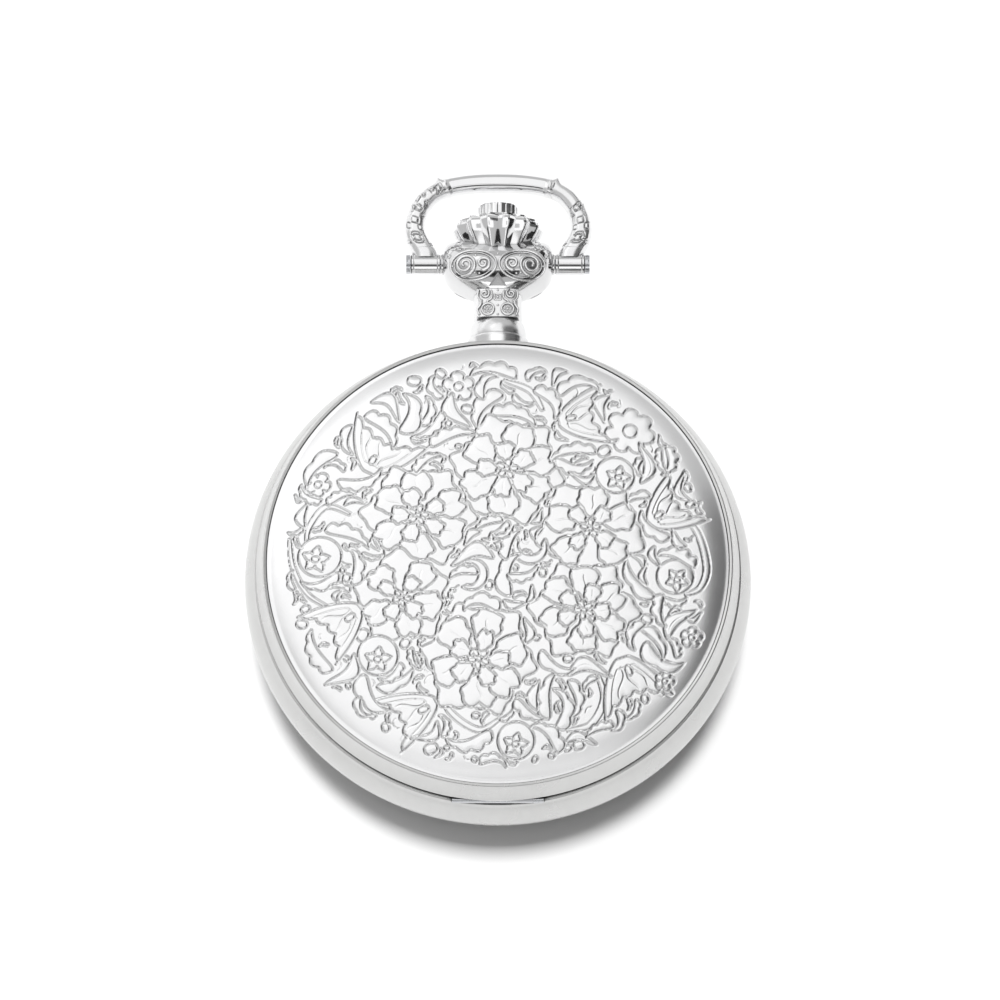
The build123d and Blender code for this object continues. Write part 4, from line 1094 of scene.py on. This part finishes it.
def numeral(text, bearing, radius, size):
    """One Roman numeral standing outward from the middle of the dial."""
    curve = bpy.data.curves.new("numeral", "FONT")
    curve.body = text
    curve.size = size * MM
    curve.align_x = "CENTER"
    curve.align_y = "CENTER"
    curve.extrude = PRINT * MM / 2
    curve.resolution_u = 2
    obj = added("numeral", curve)
    mesh = bpy.data.meshes.new_from_object(obj.evaluated_get(bpy.context.evaluated_depsgraph_get()))
    turn = math.radians(bearing - 90)
    c, s = math.cos(turn), math.sin(turn)
    cx, cy = polar(0, 0, radius, math.radians(bearing))
    verts = []
    for v in mesh.vertices:
        u, w = v.co.x / MM * 0.82, v.co.y / MM * 1.25
        verts.append((cx + u * c - w * s, cy + u * s + w * c, DIAL_TOP + PRINT / 2 + v.co.z / MM))
    faces = [tuple(face.vertices) for face in mesh.polygons]
    bpy.data.objects.remove(obj)
    bpy.data.curves.remove(curve)
    bpy.data.meshes.remove(mesh)
    return verts, faces


roman = ["XII", "I", "II", "III", "IV", "V", "VI", "VII", "VIII", "IX", "X", "XI"]
piece("dial_numerals", *join(*[numeral(text, 90 - 30 * k, 15.0, 2.6) for k, text in enumerate(roman)]),
      ink, "case", slot="enamel", sharp=20)
track = bars(around_dial(0, 0, 17.9, 60, 0.7, 0.10, skip=5), DIAL_TOP)
track += bars(around_dial(0, 0, 17.9, 12, 0.8, 0.26), DIAL_TOP)
track += [hoop(0, 0, 18.27, 0.07, DIAL_TOP), hoop(0, 0, 17.5, 0.07, DIAL_TOP)]
piece("dial_minute_track", *join(*track), ink, "case", slot="enamel", sharp=20)
small = bars(around_dial(0, SECONDS_Y, 2.98, 60, 0.32, 0.045, skip=5), SECONDS_TOP)
small += bars(around_dial(0, SECONDS_Y, 2.9, 12, 0.5, 0.09), SECONDS_TOP)
small += [hoop(0, SECONDS_Y, 3.17, 0.05, SECONDS_TOP, 96)]
piece("dial_seconds_track", *join(*small), ink, "case", slot="enamel", sharp=20)


# ---------------------------------------------------------------- studio
def aimed(name, data, where, toward):
    """An object that faces a point and that the camera does not see."""
    obj = added(name, data)
    obj.location = where
    obj.rotation_euler = (Vector(toward) - Vector(where)).to_track_quat("-Z", "Y").to_euler()
    obj.visible_camera = False
    return obj


def card(name, where, toward, width, height, strength):
    """A soft box: an area light aimed at a point, in metres."""
    light = bpy.data.lights.new(name, "AREA")
    light.shape = "RECTANGLE"
    light.size = width
    light.size_y = height
    light.energy = strength
    return aimed(name, light, where, toward)


def board(name, where, toward, width, height, tone):
    """A matt board that only shows as a reflection and a shade."""
    mesh = bpy.data.meshes.new(name)
    w, h = width / 2, height / 2
    mesh.from_pydata([(-w, -h, 0), (w, -h, 0), (w, h, 0), (-w, h, 0)], [], [(0, 1, 2, 3)])
    mesh.materials.append(material(name, (tone, tone, tone), metallic=0.0, rough=0.7, vary=0.05, grain=0.4,
                                   tint=0.1))
    obj = aimed(name, mesh, where, toward)
    obj.visible_shadow = False


target = Vector((0.0002, 0.00794, 0.007))
floor_mesh = bpy.data.meshes.new("floor")
FLOOR_HALF, FLOOR_Z = 3, -0.00002
floor_mesh.from_pydata([(x * FLOOR_HALF, y * FLOOR_HALF, FLOOR_Z)
                        for x, y in ((-1, -1), (1, -1), (1, 1), (-1, 1))], [], [(0, 1, 2, 3)])
floor_mesh.materials.append(material("paper_floor", (0.60, 0.60, 0.60), metallic=0.0, rough=0.8, vary=0.05,
                                     grain=2, bump=0.02, tint=0.01))
floor = added("floor", floor_mesh)

world = bpy.data.worlds.new("studio")
world.use_nodes = True
world.node_tree.nodes["Background"].inputs["Color"].default_value = (1, 1, 1, 1)
world.node_tree.nodes["Background"].inputs["Strength"].default_value = 0.62
bpy.context.scene.world = world
card("overhead", (-0.06, 0.24, 0.72), target, 0.64, 0.56, 0.585)
key = card("key", (0.01, 0.42, 0.92), target, 0.40, 0.40, 15.5)
key.visible_glossy = False
lit = bpy.data.collections.new("lit_by_key")
lit.objects.link(floor)
key.light_linking.receiver_collection = lit
shading = bpy.data.collections.new("shading_the_floor")
for obj in (back_rim, back_plate):
    shading.objects.link(obj)
key.light_linking.blocker_collection = shading
fill = card("pendant_fill", (0.0, -0.22, 0.62), target + Vector((0, 0.028, 0)), 0.90, 0.60, 1.10)
filled = bpy.data.collections.new("lit_by_fill")
for obj in bpy.data.objects:
    if obj.name.startswith(("pendant_scrolls", "neck_", "crown_fluted", "push_button_cap")):
        filled.objects.link(obj)
fill.light_linking.receiver_collection = filled
for name, where, width, height, strength in (
        ("front_card", (0.0, -0.56, 0.34), 0.30, 0.18, 0.16),
        ("left_card", (-0.52, 0.42, 0.16), 0.60, 0.26, 0.25),
        ("upper_left", (-0.42, 0.42, 0.52), 0.60, 0.60, 0.36),
        ("over_camera", (0.0, -0.17, 0.80), 0.50, 0.18, 0.13),
        ("front_strip", (0.0, -0.60, 0.43), 0.17, 0.16, 0.05)):
    card(name, where, target, width, height, strength)
for name, where, width, height, tone in (
        ("right_board", (0.50, 0.12, 0.46), 0.50, 0.70, 0.14),
        ("front_board", (0.10, -0.66, 0.30), 0.70, 0.20, 0.05),
        ("front_left", (-0.44, -0.42, 0.16), 0.30, 0.26, 0.01),
        ("front_right", (0.44, -0.42, 0.16), 0.44, 0.26, 0.01),
        ("right_low", (0.62, -0.02, 0.10), 0.60, 0.22, 0.01),
        ("back_right", (0.42, 0.48, 0.06), 0.30, 0.16, 0.01),
        ("behind_camera", (0.0, -0.38, 0.82), 0.40, 0.30, 0.01)):
    board(name, where, target, width, height, tone)

ELEVATION = math.radians(71.4)
DISTANCE = 0.9
SENSOR = 36
PICTURE_WIDTH = 0.0931
camera = bpy.data.cameras.new("camera")
camera.lens = SENSOR * DISTANCE / PICTURE_WIDTH
camera.clip_start = 0.05
eye = added("camera", camera)
eye.location = target + Vector((0, -math.cos(ELEVATION), math.sin(ELEVATION))) * DISTANCE
eye.rotation_euler = (math.pi / 2 - ELEVATION, 0, 0)
bpy.context.scene.camera = eye
bpy.context.scene.view_settings.view_transform = "Standard"
